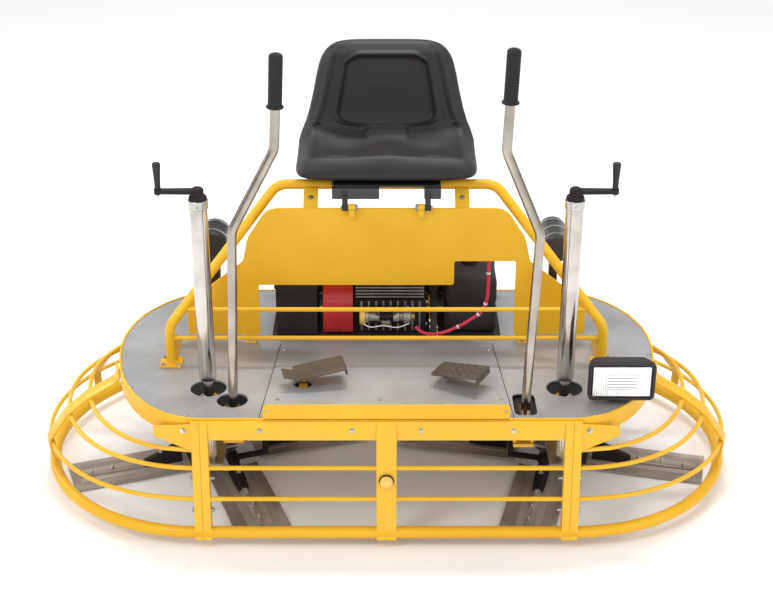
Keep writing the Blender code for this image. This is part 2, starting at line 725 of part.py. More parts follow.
def main_frame():
    """The welded frame: the band round the deck, cross members, and gearbox lugs."""
    frame = deck_solid("frame", 0.0, 0.0, BAND_TOP, BAND_BOTTOM)
    cut(frame, deck_solid("inside", 0.0, BAND_THICKNESS, BAND_TOP + 0.01, BAND_BOTTOM - 0.01))
    high = DECK_TOP - DECK_THICKNESS - FIT_GAP
    low = high - BAR_HEIGHT
    half = BAR_WIDTH / 2

    def band_reach(y, depth):
        return DECK_CENTRE_X + (DECK_END - BAND_THICKNESS) * math.sqrt(1 - (y / depth) ** 2)

    inner_front = DECK_FRONT - BAND_THICKNESS / 2
    inner_rear = DECK_REAR - BAND_THICKNESS / 2
    front_x = band_reach(FRONT_BAR_Y - half, DECK_FRONT - BAND_THICKNESS) + BAND_THICKNESS * 0.4
    rear_x = band_reach(REAR_BAR_Y + half, DECK_REAR - BAND_THICKNESS) + BAND_THICKNESS * 0.4
    bars = [
        block("bar", (-front_x, FRONT_BAR_Y - half, low), (front_x, FRONT_BAR_Y + half, high)),
        block("bar", (-rear_x, REAR_BAR_Y - half, low), (rear_x, REAR_BAR_Y + half, high)),
    ]
    lug_inner = GEARBOX_HALF_Y + LUG_CLEARANCE
    for side in (-1, 1):
        x = side * ROTOR_X
        bars.append(block("bar", (x - half, FRONT_BAR_Y, low + 0.002), (x + half, REAR_BAR_Y, high - 0.002)))
        for facing in (-1, 1):
            ys = sorted((facing * lug_inner, facing * (lug_inner + LUG_THICKNESS)))
            lug = block("lug", (x - LUG_HALF, ys[0], TILT_Z - LUG_HALF), (x + LUG_HALF, ys[1], high - 0.004))
            bore = rod("bore", (x, ys[0] - CUT, TILT_Z), bore_radius(TRUNNION_RADIUS, PIN_STEPS),
                       LUG_THICKNESS + 2 * CUT, "Y", PIN_STEPS)
            bars.append(cut(lug, bore))
    for x in (LEFT_PEDAL[0], -LEFT_PEDAL[0]):
        bars.append(block("tie", (x - 0.012, -inner_front, low + 0.004), (x + 0.012, FRONT_BAR_Y, high - 0.004)))
    for x in (-0.36, 0.36):
        bars.append(block("tie", (x - half, REAR_BAR_Y, low + 0.004), (x + half, inner_rear, high - 0.004)))
        bars.append(block("tie", (x - half, FRONT_BAR_Y, low + 0.006), (x + half, REAR_BAR_Y, high - 0.006)))
    weld(frame, *bars)
    x, y, heading = LEFT_PEDAL
    weld(frame, pedal_post("post", x, y, high - 0.008, heading))
    for x, y in ((LEFT_LEVER_X, LEFT_LEVER_Y), (RIGHT_LEVER_X, RIGHT_LEVER_Y)):
        weld(frame, lever_bracket(x, y, low + 0.006))
    toe = block("toe", (-TOE_HALF, -DECK_FRONT, BAND_TOP - 0.004),
                (TOE_HALF, -(DECK_FRONT - 0.004), DECK_TOP + TOE_HEIGHT))
    weld(frame, toe)
    return finish(frame, "main_frame", "yellow")


def lever_bracket(x, y, high):
    """A shelf under the deck with two ears for a lever's pivot block."""
    ear_inner = PIVOT_BLOCK + 0.003
    ear_outer = ear_inner + 0.008
    shelf_low = LEVER_PIVOT_Z - 0.040
    shelf = block("shelf", (x - ear_outer, y - 0.020, shelf_low), (x + ear_outer, FRONT_BAR_Y, shelf_low + 0.010))
    hanger = block("hanger", (x - 0.012, FRONT_BAR_Y - 0.014, shelf_low + 0.004),
                   (x + 0.012, FRONT_BAR_Y + 0.010, high))
    weld(shelf, hanger)
    for side in (-1, 1):
        xs = sorted((x + side * ear_inner, x + side * ear_outer))
        ear = block("ear", (xs[0], y - 0.016, shelf_low + 0.005), (xs[1], y + 0.016, LEVER_PIVOT_Z + 0.014))
        bore = rod("bore", (xs[0] - CUT, y, LEVER_PIVOT_Z), bore_radius(PIVOT_PIN, 16), 0.008 + 2 * CUT, "X", 16)
        weld(shelf, cut(ear, bore))
    return shelf


# ---------------------------------------------------------------- panel, arch and seat
def front_panel():
    """The yellow sheet in front of the engine, with its cheeks and hinge knuckles."""
    half = [
        (PANEL_TOP_HALF - 0.030, PANEL_TOP), (PANEL_TOP_HALF - 0.008, PANEL_TOP - 0.004),
        (PANEL_TOP_HALF + 0.010, PANEL_TOP - 0.016),
        (PANEL_SHOULDER_X - 0.006, PANEL_SHOULDER_Z + 0.010), (PANEL_SHOULDER_X, PANEL_SHOULDER_Z - 0.006),
        (PANEL_SHOULDER_X + 0.012, BAY_NOTCH_TOP),
        (CHEEK_OUTER - 0.050, CHEEK_OUTER_Z + 0.030), (CHEEK_OUTER, CHEEK_OUTER_Z),
        (CHEEK_OUTER, CHEEK_BOTTOM),
    ]
    outline = half + [
        (BAY_OPEN_RIGHT, CHEEK_BOTTOM), (BAY_OPEN_RIGHT, BAY_NOTCH_TOP), (BAY_NOTCH_X, BAY_NOTCH_TOP),
        (BAY_NOTCH_X, BAY_OPEN_TOP), (BAY_OPEN_LEFT, BAY_OPEN_TOP), (BAY_OPEN_LEFT, CHEEK_BOTTOM),
    ] + [(-x, z) for x, z in reversed(half)]
    body = prism("panel", outline, PANEL_Y, PANEL_Y + PANEL_THICKNESS, "Y")
    for side in (-1, 1):
        # legs that carry the cheeks down to the deck
        low_x, high_x = sorted((side * (BAY_OPEN_RIGHT + 0.010), side * (BAY_OPEN_RIGHT + 0.040)))
        weld(body, block("leg", (low_x, PANEL_Y + 0.001, DECK_TOP + FIT_GAP), (high_x, PANEL_Y + 0.005, 0.42)))
        # the knuckle nearer the middle belongs to the panel
        start = side * HINGE_X - (KNUCKLE if side > 0 else 0)
        start += -side * FIT_GAP
        knuckle = rod("knuckle", (start, HINGE_Y, HINGE_Z), HINGE_RADIUS, KNUCKLE, "X", 16)
        stay = block("stay", (start + 0.001, HINGE_Y - 0.004, HINGE_Z - 0.028),
                     (start + KNUCKLE - 0.001, PANEL_Y + 0.003, HINGE_Z - 0.004))
        weld(knuckle, stay)
        reach = rod("pin", (min(start, side * (HINGE_X + 0.022)), HINGE_Y, HINGE_Z), HINGE_PIN_RADIUS,
                    abs(side * (HINGE_X + 0.022) - start) + (0 if side > 0 else KNUCKLE), "X", 12)
        weld(knuckle, reach)
        weld(body, knuckle)
        # tabs from the panel's top edge up to the arch
        x = side * TAB_X
        verts = [
            (x - TAB_HALF, PANEL_Y + 0.001, PANEL_TOP - 0.012),
            (x + TAB_HALF, PANEL_Y + 0.001, PANEL_TOP - 0.012),
            (x + TAB_HALF * 0.85, ARCH_Y - LEG_RADIUS - FIT_GAP - 0.001, ARCH_Z - 0.004),
            (x - TAB_HALF * 0.85, ARCH_Y - LEG_RADIUS - FIT_GAP - 0.001, ARCH_Z - 0.004),
        ]
        verts += [(vx, vy, vz - TAB_THICKNESS) for vx, vy, vz in verts]
        faces = [(0, 1, 2, 3), (7, 6, 5, 4)] + [(i, (i + 1) % 4, 4 + (i + 1) % 4, 4 + i) for i in range(4)]
        weld(body, make("tab", verts, faces))
    return finish(body, "front_panel", "yellow")


def arch_frame():
    """The bent tube that carries the seat, with its feet, gussets and two cross rods."""
    foot_low = DECK_TOP + FIT_GAP
    corners = []
    for side in (-1, 1):
        half = [
            (side * LEG_X, LEG_Y, foot_low + 0.002), (side * LEG_X, LEG_Y, LEG_KNEE_Z),
            (side * ARCH_CORNER_X, ARCH_Y, ARCH_Z),
        ]
        corners += half if side < 0 else list(reversed(half))
    body = tube("arch", rounded(corners, LEG_BEND), LEG_RADIUS, 10)
    for side in (-1, 1):
        x = side * LEG_X
        foot = block("foot", (x - FOOT_HALF, LEG_Y - FOOT_HALF, foot_low),
                     (x + FOOT_HALF, LEG_Y + FOOT_HALF, foot_low + FOOT_THICKNESS))
        gusset = prism("gusset", [
            (LEG_Y + 0.004, foot_low + 0.001), (PANEL_Y - 0.012, foot_low + 0.001),
            (PANEL_Y - 0.012, foot_low + 0.010), (LEG_Y + 0.004, foot_low + 0.085),
        ], x - side * 0.012 - 0.0025, x - side * 0.012 + 0.0025, "X")
        weld(body, foot, gusset)
    for z in CROSS_ROD_Z:
        share = max(0.0, (z - LEG_KNEE_Z) / (ARCH_Z - LEG_KNEE_Z))
        x = LEG_X + (ARCH_CORNER_X - LEG_X) * share
        y = LEG_Y + (ARCH_Y - LEG_Y) * share
        weld(body, tube("rod", [(-x, y, z), (x, y, z)], CROSS_ROD_RADIUS, 8))
    return finish(body, "arch_frame", "yellow")


def seat_frame():
    """The black bracket under the seat, with the outer hinge knuckles."""
    top = SEAT_BOTTOM - FIT_GAP
    body = block("plate", (-0.150, 0.010, top - 0.005), (0.150, 0.330, top))
    for side in (-1, 1):
        start = side * HINGE_X if side > 0 else -HINGE_X - KNUCKLE
        knuckle = rod("knuckle", (start, HINGE_Y, HINGE_Z), HINGE_RADIUS, KNUCKLE, "X", 16)
        arm = prism("arm", [
            (HINGE_Y - 0.0055, HINGE_Z + 0.0065), (HINGE_Y + 0.0075, HINGE_Z - 0.0040), (0.042, top - 0.012),
            (0.060, top - 0.002), (0.012, top - 0.002),
        ], start + 0.001, start + KNUCKLE - 0.001, "X")
        weld(knuckle, arm)
        bore = rod("bore", (start - CUT, HINGE_Y, HINGE_Z), bore_radius(HINGE_PIN_RADIUS, 12),
                   KNUCKLE + 2 * CUT, "X", 12)
        weld(body, cut(knuckle, bore))
    return finish(body, "seat_frame", "black", (0, HINGE_Y, HINGE_Z))


def seat():
    """The one-piece seat: a cushion and a leaning back, as stacked sections."""
    def section(width, y_low, y_high, z, corner):
        half = width / 2
        points = []
        for sx, sy, start in ((1, 1, 0), (-1, 1, 90), (-1, -1, 180), (1, -1, 270)):
            for k in range(4):
                angle = math.radians(start + 30.0 * k)
                cy = (y_high if sy > 0 else y_low) - sy * corner
                points.append((sx * (half - corner) + corner * math.cos(angle), cy + corner * math.sin(angle), z))
        return points

    back = SEAT_BACK_Y
    levels = [
        section(SEAT_WIDTH - 0.060, SEAT_FRONT_Y + 0.020, back - 0.020, SEAT_BOTTOM, 0.040),
        section(SEAT_WIDTH - 0.010, SEAT_FRONT_Y + 0.003, back - 0.004, SEAT_BOTTOM + 0.018, 0.055),
        section(SEAT_WIDTH, SEAT_FRONT_Y, back - 0.002, SEAT_BOTTOM + 0.040, 0.060),
        section(SEAT_WIDTH - 0.010, SEAT_FRONT_Y + 0.010, back, SEAT_FRONT_TOP, 0.060),
        section(SEAT_WAIST + 0.010, back - 0.200, back, SEAT_FRONT_TOP + 0.028, 0.050),
        section(SEAT_WAIST, back - SEAT_BACK_THICKNESS - 0.050, back - 0.006, SEAT_FRONT_TOP + 0.070, 0.040),
        section(SEAT_WAIST - 0.030, back - SEAT_BACK_THICKNESS - 0.020, back - 0.010,
                SEAT_BACK_TOP - 0.110, 0.036),
        section(SEAT_TOP_WIDTH, back - SEAT_BACK_THICKNESS, back - 0.012, SEAT_BACK_TOP - 0.030, 0.034),
        section(SEAT_TOP_WIDTH - 0.060, back - SEAT_BACK_THICKNESS + 0.020, back - 0.030, SEAT_BACK_TOP, 0.022),
    ]
    count = len(levels[0])
    verts = [p for level in levels for p in level]
    faces = [tuple(range(count)), tuple(range(len(verts) - 1, len(verts) - count - 1, -1))]
    for i in range(len(levels) - 1):
        for k in range(count):
            n = (k + 1) % count
            faces.append((i * count + k, i * count + n, (i + 1) * count + n, (i + 1) * count + k))
    return finish(make("seat", verts, faces), "seat", "black", (0, HINGE_Y, HINGE_Z), 60.0)


# ---------------------------------------------------------------- rotors
def radial_place(side, angle):
    """Local X outwards along an arm, local Y ahead, about the rotor's centre."""
    turn = Matrix.Rotation(math.radians(angle), 4, "Z")
    return Matrix.Translation((side * ROTOR_X, 0, 0)) @ turn


def blade(side, index, angle):
    """A flat rectangular trowel blade."""
    outer = math.sqrt(TIP_RADIUS ** 2 - (BLADE_WIDTH / 2) ** 2)
    half = BLADE_WIDTH / 2
    plate = block("blade", (outer - BLADE_LENGTH, -half, 0.0), (outer, half, BLADE_THICKNESS))
    plate.data.transform(radial_place(side, angle))
    origin = (side * ROTOR_X, 0, ARM_Z)
    return finish(plate, f"blade_{SIDE_NAMES[side]}_{index}", "blade_steel", origin)


def arm(side, index, angle):
    """A trowel arm: a shaft in the spider's socket, a clamp, a bar on the blade, and the pitch finger."""
    low = BLADE_THICKNESS + FIT_GAP
    body = rod("arm", (ARM_START, 0, ARM_Z), ARM_RADIUS, BAR_START - ARM_START + 0.064, "X", PIN_STEPS)
    bar = prism("bar", [(BAR_START, low), (BAR_END, low), (BAR_END, low + 0.016), (0.200, low + 0.030),
                        (BAR_START, ARM_Z + SOCKET_RADIUS)], -ARM_BAR_HALF, ARM_BAR_HALF, "Y")
    trail = side                      # the left rotor turns clockwise, so its fingers are mirrored
    ys = sorted((-trail * FINGER_INNER, -trail * FINGER_OUTER))
    finger = block("finger", (0.105, ys[0], ARM_Z - 0.006), (0.120, ys[1], ARM_Z + FINGER_HEIGHT))
    ys = sorted((0.0, -trail * (FINGER_OUTER - 0.002)))
    web = block("web", (0.1055, ys[0], ARM_Z - 0.007), (0.1195, ys[1], ARM_Z + 0.007))
    weld(body, bar, web, finger)
    body.data.transform(radial_place(side, angle))
    origin = (side * ROTOR_X, 0, ARM_Z)
    return finish(body, f"arm_{SIDE_NAMES[side]}_{index}", "cast_black", origin)


def spider(side, first_angle):
    """The rotor's hub with four bored sockets and the upright shaft."""
    profile = [
        (0, 0.026), (HUB_RADIUS - 0.006, 0.026), (HUB_RADIUS, 0.032), (HUB_RADIUS, HUB_TOP - 0.004),
        (HUB_RADIUS - 0.006, HUB_TOP), (SHAFT_RADIUS, HUB_TOP), (SHAFT_RADIUS, GEARBOX_LOW + SHAFT_REACH),
        (0, GEARBOX_LOW + SHAFT_REACH),
    ]
    body = turned("spider", profile, (0, 0, 0), "Z", 20)
    bores = []
    for k in range(4):
        socket = rod("socket", (0.020, 0, ARM_Z), SOCKET_RADIUS, SOCKET_END - 0.020, "X", 14)
        bore = rod("bore", (ARM_START - 0.002, 0, ARM_Z), bore_radius(ARM_RADIUS, PIN_STEPS),
                   SOCKET_END - ARM_START + CUT, "X", PIN_STEPS)
        turn = Matrix.Rotation(math.radians(90 * k), 4, "Z")
        socket.data.transform(turn)
        bore.data.transform(turn)
        weld(body, socket)
        bores.append(bore)
    cut(body, *bores)
    body.data.transform(radial_place(side, first_angle))
    return finish(body, f"spider_{SIDE_NAMES[side]}", "cast_black", (side * ROTOR_X, 0, ARM_Z))


def collar(side):
    """The thrust plate that pushes the pitch fingers down."""
    low = ARM_Z + FINGER_HEIGHT + FIT_GAP
    inner = bore_radius(SHAFT_RADIUS, 20)
    high = low + COLLAR_THICKNESS
    profile = [
        (inner, low), (COLLAR_RADIUS, low), (COLLAR_RADIUS, high - 0.002), (0.040, high),
        (0.034, high + 0.014), (inner, high + 0.014),
    ]
    body = turned("collar", profile, (side * ROTOR_X, 0, 0), "Z", 28, closed=True)
    return finish(body, f"pitch_collar_{SIDE_NAMES[side]}", "steel", (side * ROTOR_X, 0, low))


def gearbox(side):
    """The gear case, its trunnions, the drive input boss and the crank post's bracket."""
    x = side * ROTOR_X
    outline = []
    for sx, sz, start in ((1, 1, 0), (-1, 1, 90), (-1, -1, 180), (1, -1, 270)):
        for k in range(4):
            angle = math.radians(start + 30 * k)
            cx = x + sx * (GEARBOX_HALF_X - 0.018)
            cz = (GEARBOX_HIGH if sz > 0 else GEARBOX_LOW) - sz * 0.018
            outline.append((cx + 0.018 * math.cos(angle), cz + 0.018 * math.sin(angle)))
    body = prism("case", outline, -GEARBOX_HALF_Y, GEARBOX_HALF_Y, "Y")
    reach = GEARBOX_HALF_Y + LUG_CLEARANCE + LUG_THICKNESS + 0.004
    weld(body, rod("trunnion", (x, -reach, TILT_Z), TRUNNION_RADIUS, 2 * reach, "Y", PIN_STEPS))
    inward = x - side * 0.095
    weld(body, rod("input", (min(inward, x), 0, TILT_Z), 0.030, 0.095, "X", 20))
    weld(body, rod("top_plug", (x, 0.03, GEARBOX_HIGH - 0.004), 0.012, 0.014, "Z", 12))
    shelf = block("shelf", (side * POST_X - 0.030, POST_Y - 0.030, GEARBOX_LOW + 0.003),
                  (side * POST_X + 0.030, -GEARBOX_HALF_Y + 0.010, GEARBOX_LOW + 0.021))
    weld(body, shelf)
    bore = rod("bore", (x, 0, GEARBOX_LOW - CUT), bore_radius(SHAFT_RADIUS, 20),
               CUT + SHAFT_REACH + FIT_GAP, "Z", 20)
    cut(body, bore)
    return finish(body, f"gearbox_{SIDE_NAMES[side]}", "cast_alloy", (x, 0, TILT_Z))


# ---------------------------------------------------------------- cranks and levers
def crank_post(side):
    """The upright pitch-control tube on its inner rod."""
    foot = GEARBOX_LOW + 0.021 + FIT_GAP
    profile = [
        (0, foot), (0.024, foot), (0.024, foot + 0.012), (ROD_INNER_RADIUS, foot + 0.016),
        (ROD_INNER_RADIUS, POST_FOOT_Z), (POST_RADIUS, POST_FOOT_Z + 0.003), (POST_RADIUS, POST_TOP_Z - 0.024),
        (POST_RADIUS + 0.003, POST_TOP_Z - 0.022), (POST_RADIUS + 0.003, POST_TOP_Z),
        (POST_BORE, POST_TOP_Z), (POST_BORE, POST_TOP_Z - 0.060), (0, POST_TOP_Z - 0.060),
    ]
    body = turned("post", profile, (side * POST_X, POST_Y, 0), "Z", 18)
    return finish(body, f"crank_post_{SIDE_NAMES[side]}", "steel", (side * ROTOR_X, 0, TILT_Z))


def crank(side):
    """The crank arm on top of a post, with its spindle and the handle's pin."""
    x = side * POST_X
    low = POST_TOP_Z + FIT_GAP
    profile = [
        (0, low - 0.040), (0.010, low - 0.040), (0.010, low), (POST_RADIUS, low), (POST_RADIUS, low + 0.008),
        (CRANK_HUB_RADIUS, low + 0.012), (CRANK_HUB_RADIUS, low + 0.030), (0.010, low + 0.034), (0, low + 0.034),
    ]
    body = turned("hub", profile, (x, POST_Y, 0), "Z", 16)
    end = x + side * CRANK_REACH
    bar = make("bar", [
        (x, POST_Y - 0.011, low + 0.013), (x, POST_Y + 0.011, low + 0.013),
        (x, POST_Y + 0.011, low + 0.028), (x, POST_Y - 0.011, low + 0.028),
        (end, POST_Y - 0.007, low + 0.017), (end, POST_Y + 0.007, low + 0.017),
        (end, POST_Y + 0.007, low + 0.027), (end, POST_Y - 0.007, low + 0.027),
    ], [(0, 1, 2, 3), (7, 6, 5, 4), (0, 1, 5, 4), (1, 2, 6, 5), (2, 3, 7, 6), (3, 0, 4, 7)])
    boss = rod("boss", (end, POST_Y, low + 0.015), 0.010, 0.014, "Z", 16)
    pin = rod("pin", (end, POST_Y, low + 0.020), PIN_RADIUS, 0.009 + HANDLE_HEIGHT * 0.5, "Z", 14)
    weld(body, bar, boss, pin)
    return finish(body, f"crank_{SIDE_NAMES[side]}", "cast_black", (x, POST_Y, low))


def crank_handle(side):
    """The revolving tapered handle on the crank's pin."""
    x = side * (POST_X + CRANK_REACH)
    low = POST_TOP_Z + 0.029 + 2 * FIT_GAP
    inner = bore_radius(PIN_RADIUS, 14)
    profile = [
        (inner, low), (0.007, low), (0.0075, low + 0.010), (HANDLE_RADIUS, low + HANDLE_HEIGHT - 0.012),
        (HANDLE_RADIUS - 0.003, low + HANDLE_HEIGHT - 0.002), (0, low + HANDLE_HEIGHT),
    ]
    profile += [(0, low + HANDLE_HEIGHT * 0.5 + 0.001), (inner, low + HANDLE_HEIGHT * 0.5 + 0.001)]
    body = turned("handle", profile, (x, POST_Y, 0), "Z", 14, closed=True)
    return finish(body, f"crank_handle_{SIDE_NAMES[side]}", "black", (x, POST_Y, low))


def lever_root(side):
    """Where a lever's pivot stands."""
    return (LEFT_LEVER_X, LEFT_LEVER_Y) if side < 0 else (RIGHT_LEVER_X, RIGHT_LEVER_Y)


def lever_path(side):
    """Straight up, inwards at the knee, and up again to the grip."""
    x, y = lever_root(side)
    knee_x, neck_x, top_x, top_z = LEVER_SHAPE[side]
    return rounded([
        (x, y, LEVER_PIVOT_Z + PIVOT_BLOCK * 0.75), (knee_x, y, LEVER_KNEE_Z),
        (neck_x, y, LEVER_NECK_Z), (top_x, y, top_z),
    ], LEVER_BEND, 4)


def lever(side):
    """A bent chrome lever with its pivot block."""
    x, y = lever_root(side)
    body = tube("lever", lever_path(side), LEVER_RADIUS, LEVER_SIDES)
    if side < 0:
        # the two-way lever turns on a pin along Y inside the gimbal
        half = LEVER_ROOT_HALF
        low = (x - half, y - half, LEVER_PIVOT_Z - half)
        high = (x + half, y + half, LEVER_PIVOT_Z + PIVOT_BLOCK)
        weld(body, block("root", low, high))
        weld(body, rod("pin", (x, y - 0.0145, LEVER_PIVOT_Z), GIMBAL_PIN, 0.029, "Y", 16))
    else:
        low = (x - PIVOT_BLOCK, y - 0.012, LEVER_PIVOT_Z - 0.012)
        high = (x + PIVOT_BLOCK, y + 0.012, LEVER_PIVOT_Z + 0.016)
        weld(body, block("root", low, high))
        reach = PIVOT_BLOCK + 0.012
        weld(body, rod("pin", (x - reach, y, LEVER_PIVOT_Z), PIVOT_PIN, 2 * reach, "X", 16))
    return finish(body, f"lever_{SIDE_NAMES[side]}", "steel", (x, y, LEVER_PIVOT_Z))


def lever_gimbal():
    """The ring that lets the left lever lean both ways."""
    x, y, z = LEFT_LEVER_X, LEFT_LEVER_Y, LEVER_PIVOT_Z
    body = block("ring", (x - PIVOT_BLOCK, y - PIVOT_BLOCK, z - GIMBAL_HALF),
                 (x + PIVOT_BLOCK, y + PIVOT_BLOCK, z + GIMBAL_HALF))
    weld(body, rod("pin", (x - PIVOT_BLOCK - 0.012, y, z), PIVOT_PIN, 2 * (PIVOT_BLOCK + 0.012), "X", 16))
    window = block("window", (x - WINDOW_HALF, y - LEVER_ROOT_HALF - 0.002, z - PIVOT_BLOCK),
                   (x + WINDOW_HALF, y + LEVER_ROOT_HALF + 0.002, z + PIVOT_BLOCK))
    cut(body, window)
    cut(body, rod("bore", (x, y - 0.03, z), bore_radius(GIMBAL_PIN, 16), 0.06, "Y", 16))
    return finish(body, "lever_gimbal", "steel", (x, y, z))


def grip(side):
    """A black rubber grip with a flange at the bottom and a domed top."""
    x, y = lever_root(side)
    _, neck_x, top_x, top_z = LEVER_SHAPE[side]
    inner = LEVER_RADIUS / math.cos(math.pi / LEVER_SIDES) + FIT_GAP
    low = GRIP_CAP - GRIP_LENGTH
    profile = [
        (inner, low), (GRIP_RADIUS + 0.004, low), (GRIP_RADIUS + 0.004, low + 0.005), (GRIP_RADIUS, low + 0.009),
        (GRIP_RADIUS, GRIP_CAP - 0.008), (GRIP_RADIUS - 0.006, GRIP_CAP - 0.001), (0, GRIP_CAP),
        (0, FIT_GAP), (inner, FIT_GAP),
    ]
    body = turned("grip", profile, (0, 0, 0), "Z", 18, closed=True)
    lean = math.atan2(top_x - neck_x, top_z - LEVER_NECK_Z)
    body.data.transform(Matrix.Translation((top_x, y, top_z)) @ Matrix.Rotation(lean, 4, "Y"))
    return finish(body, f"grip_{SIDE_NAMES[side]}", "black", (x, y, LEVER_PIVOT_Z))


# ---------------------------------------------------------------- pedals and lamp
def pedal(side):
    """A sloped tread plate with a turned-down edge and two ears on the pin."""
    x, y, heading = LEFT_PEDAL if side < 0 else RIGHT_PEDAL
    rise = 0.012
    half = PEDAL_WIDTH / 2
    body = block("tread", (-0.022, -half, rise), (PEDAL_LENGTH - 0.022, half, rise + PEDAL_THICKNESS))
    edge = block("edge", (PEDAL_LENGTH - 0.027, -half, rise - 0.016), (PEDAL_LENGTH - 0.022, half, rise + 0.003))
    weld(body, edge)
    if side < 0:
        lip = prism("lip", [(-0.020, rise + 0.001), (-0.020, rise + 0.005), (-0.052, rise + 0.017),
                            (-0.054, rise + 0.013)], -half * 0.8, half * 0.5, "Y")
        weld(body, lip)
    for facing in (-1, 1):
        ys = sorted((facing * 0.0065, facing * 0.0125))
        ear = block("ear", (-0.008, ys[0], -0.007), (0.008, ys[1], rise + 0.002))
        bore = rod("bore", (0, ys[0] - CUT, 0), bore_radius(PEDAL_PIN, 12), 0.006 + 2 * CUT, "Y", 12)
        weld(body, cut(ear, bore))
    spin(body, -PEDAL_SLOPE, (0, 0, 0), "Y")
    spin(body, heading, (0, 0, 0), "Z")
    body.data.transform(Matrix.Translation((x, y, PEDAL_PIVOT_Z)))
    name = f"pedal_{SIDE_NAMES[side]}"
    return finish(body, name, "cast_black", (x, y, PEDAL_PIVOT_Z))


def lamp_bracket():
    """The foot on the deck that carries the headlight's pin."""
    low = DECK_TOP + FIT_GAP
    body = block("foot", (LAMP_X - 0.035, LAMP_Y - 0.009, low), (LAMP_X + 0.015, LAMP_Y + 0.032, low + 0.004))
    lug = block("lug", (LAMP_X - 0.008, LAMP_Y - 0.008, low + 0.002),
                (LAMP_X + 0.008, LAMP_Y + 0.008, LAMP_PIVOT_Z))
    eye = rod("eye", (LAMP_X - 0.008, LAMP_Y, LAMP_PIVOT_Z), 0.008, 0.016, "X", 16)
    pin = rod("pin", (LAMP_X - 0.024, LAMP_Y, LAMP_PIVOT_Z), LAMP_PIN, 0.048, "X", 12)
    weld(body, lug, eye, pin)
    return finish(body, "lamp_bracket", "black")


def lamp_housing():
    """The headlight's black shell, open at the front, with two ears below."""
    low = LAMP_PIVOT_Z + LAMP_RISE
    half = LAMP_WIDTH / 2
    front = LAMP_Y - LAMP_DEPTH / 2
    back = LAMP_Y + LAMP_DEPTH / 2
    high = low + LAMP_HEIGHT

    def face(inset, y):
        return [(LAMP_X - half + inset, y, low + inset), (LAMP_X + half - inset, y, low + inset),
                (LAMP_X + half - inset, y, high - inset), (LAMP_X - half + inset, y, high - inset)]

    verts = face(0.0, front) + face(0.0, front + 0.040) + face(0.022, back)
    faces = [(0, 1, 2, 3), (11, 10, 9, 8)]
    for base in (0, 4):
        faces += [(base + i, base + (i + 1) % 4, base + 4 + (i + 1) % 4, base + 4 + i) for i in range(4)]
    body = make("shell", verts, faces)
    pocket = block("pocket", (LAMP_X - LENS_WIDTH / 2 - FIT_GAP, front - 0.01, low + LENS_RISE - FIT_GAP),
                   (LAMP_X + LENS_WIDTH / 2 + FIT_GAP, front + 0.045, low + LENS_RISE + LENS_HEIGHT + FIT_GAP))
    cut(body, pocket)
    for facing in (-1, 1):
        xs = sorted((LAMP_X + facing * 0.0085, LAMP_X + facing * 0.016))
        ear = block("ear", (xs[0], LAMP_Y - 0.008, LAMP_PIVOT_Z - 0.008), (xs[1], LAMP_Y + 0.008, low + 0.004))
        bore = rod("bore", (xs[0] - CUT, LAMP_Y, LAMP_PIVOT_Z), bore_radius(LAMP_PIN, 12), 0.008 + 2 * CUT, "X", 12)
        weld(body, cut(ear, bore))
    return finish(body, "lamp_housing", "black", (LAMP_X, LAMP_Y, LAMP_PIVOT_Z))


def lamp_lens():
    """The clear front of the headlight."""
    low = LAMP_PIVOT_Z + LAMP_RISE + LENS_RISE
    front = LAMP_Y - LAMP_DEPTH / 2
    body = block("lens", (LAMP_X - LENS_WIDTH / 2, front - 0.001, low),
                 (LAMP_X + LENS_WIDTH / 2, front - 0.001 + LENS_THICKNESS, low + LENS_HEIGHT))
    return finish(body, "lamp_lens", "glass", (LAMP_X, LAMP_Y, LAMP_PIVOT_Z))


# ---------------------------------------------------------------- engine and drive
def engine_block():
    """The crankcase and cylinder, with the output pulley's stub shaft."""
    low = DECK_TOP - DECK_THICKNESS
    body = block("case", (ENGINE_X[0], ENGINE_Y[0], low), (ENGINE_X[1], ENGINE_Y[1], ENGINE_TOP - 0.060))
    head = block("head", (ENGINE_X[0] + 0.030, ENGINE_Y[0] + 0.030, ENGINE_TOP - 0.070),
                 (ENGINE_X[1] - 0.030, ENGINE_Y[1] - 0.030, ENGINE_TOP))
    end = PULLEY_X + BELT_WIDTH / 2 + 0.008
    stub = rod("stub", (ENGINE_X[1] - 0.01, CRANKSHAFT_Y, CRANKSHAFT_Z), 0.012, end - ENGINE_X[1] + 0.01, "X", 16)
    wheel_at = (PULLEY_X - BELT_WIDTH / 2, CRANKSHAFT_Y, CRANKSHAFT_Z)
    wheel = rod("wheel", wheel_at, ENGINE_PULLEY, BELT_WIDTH, "X", 28)
    weld(body, head, stub, wheel)
    return finish(body, "engine_block", "cast_alloy")


def fan_housing():
    """The red blower cover on the engine's side."""
    start = ENGINE_X[0] - FIT_GAP
    profile = [
        (0, 0), (FAN_RADIUS, 0), (FAN_RADIUS, -0.050), (FAN_RADIUS - 0.012, -0.075), (0.060, -0.088), (0, -0.088),
    ]
    body = turned("fan", profile, (start, CRANKSHAFT_Y, CRANKSHAFT_Z), "X", 28)
    return finish(body, "fan_housing", "red")


def carburettor():
    """The fuel and throttle gear on the engine's front."""
    back = ENGINE_Y[0] - FIT_GAP
    body = block("bowl", (-0.055, back - 0.022, 0.402), (0.075, back, 0.470))
    for x, radius in ((-0.060, 0.022), (0.000, 0.016), (0.052, 0.020)):
        weld(body, rod("drum", (x - 0.018, back - 0.024, 0.452), radius, 0.036, "X", 16))
    weld(body, rod("body", (-0.075, back - 0.020, 0.430), 0.012, 0.160, "X", 16))
    cut(body, block("flush", (-0.2, back, 0.3), (0.2, back + 0.1, 0.6)))
    return finish(body, "carburettor", "cast_alloy")


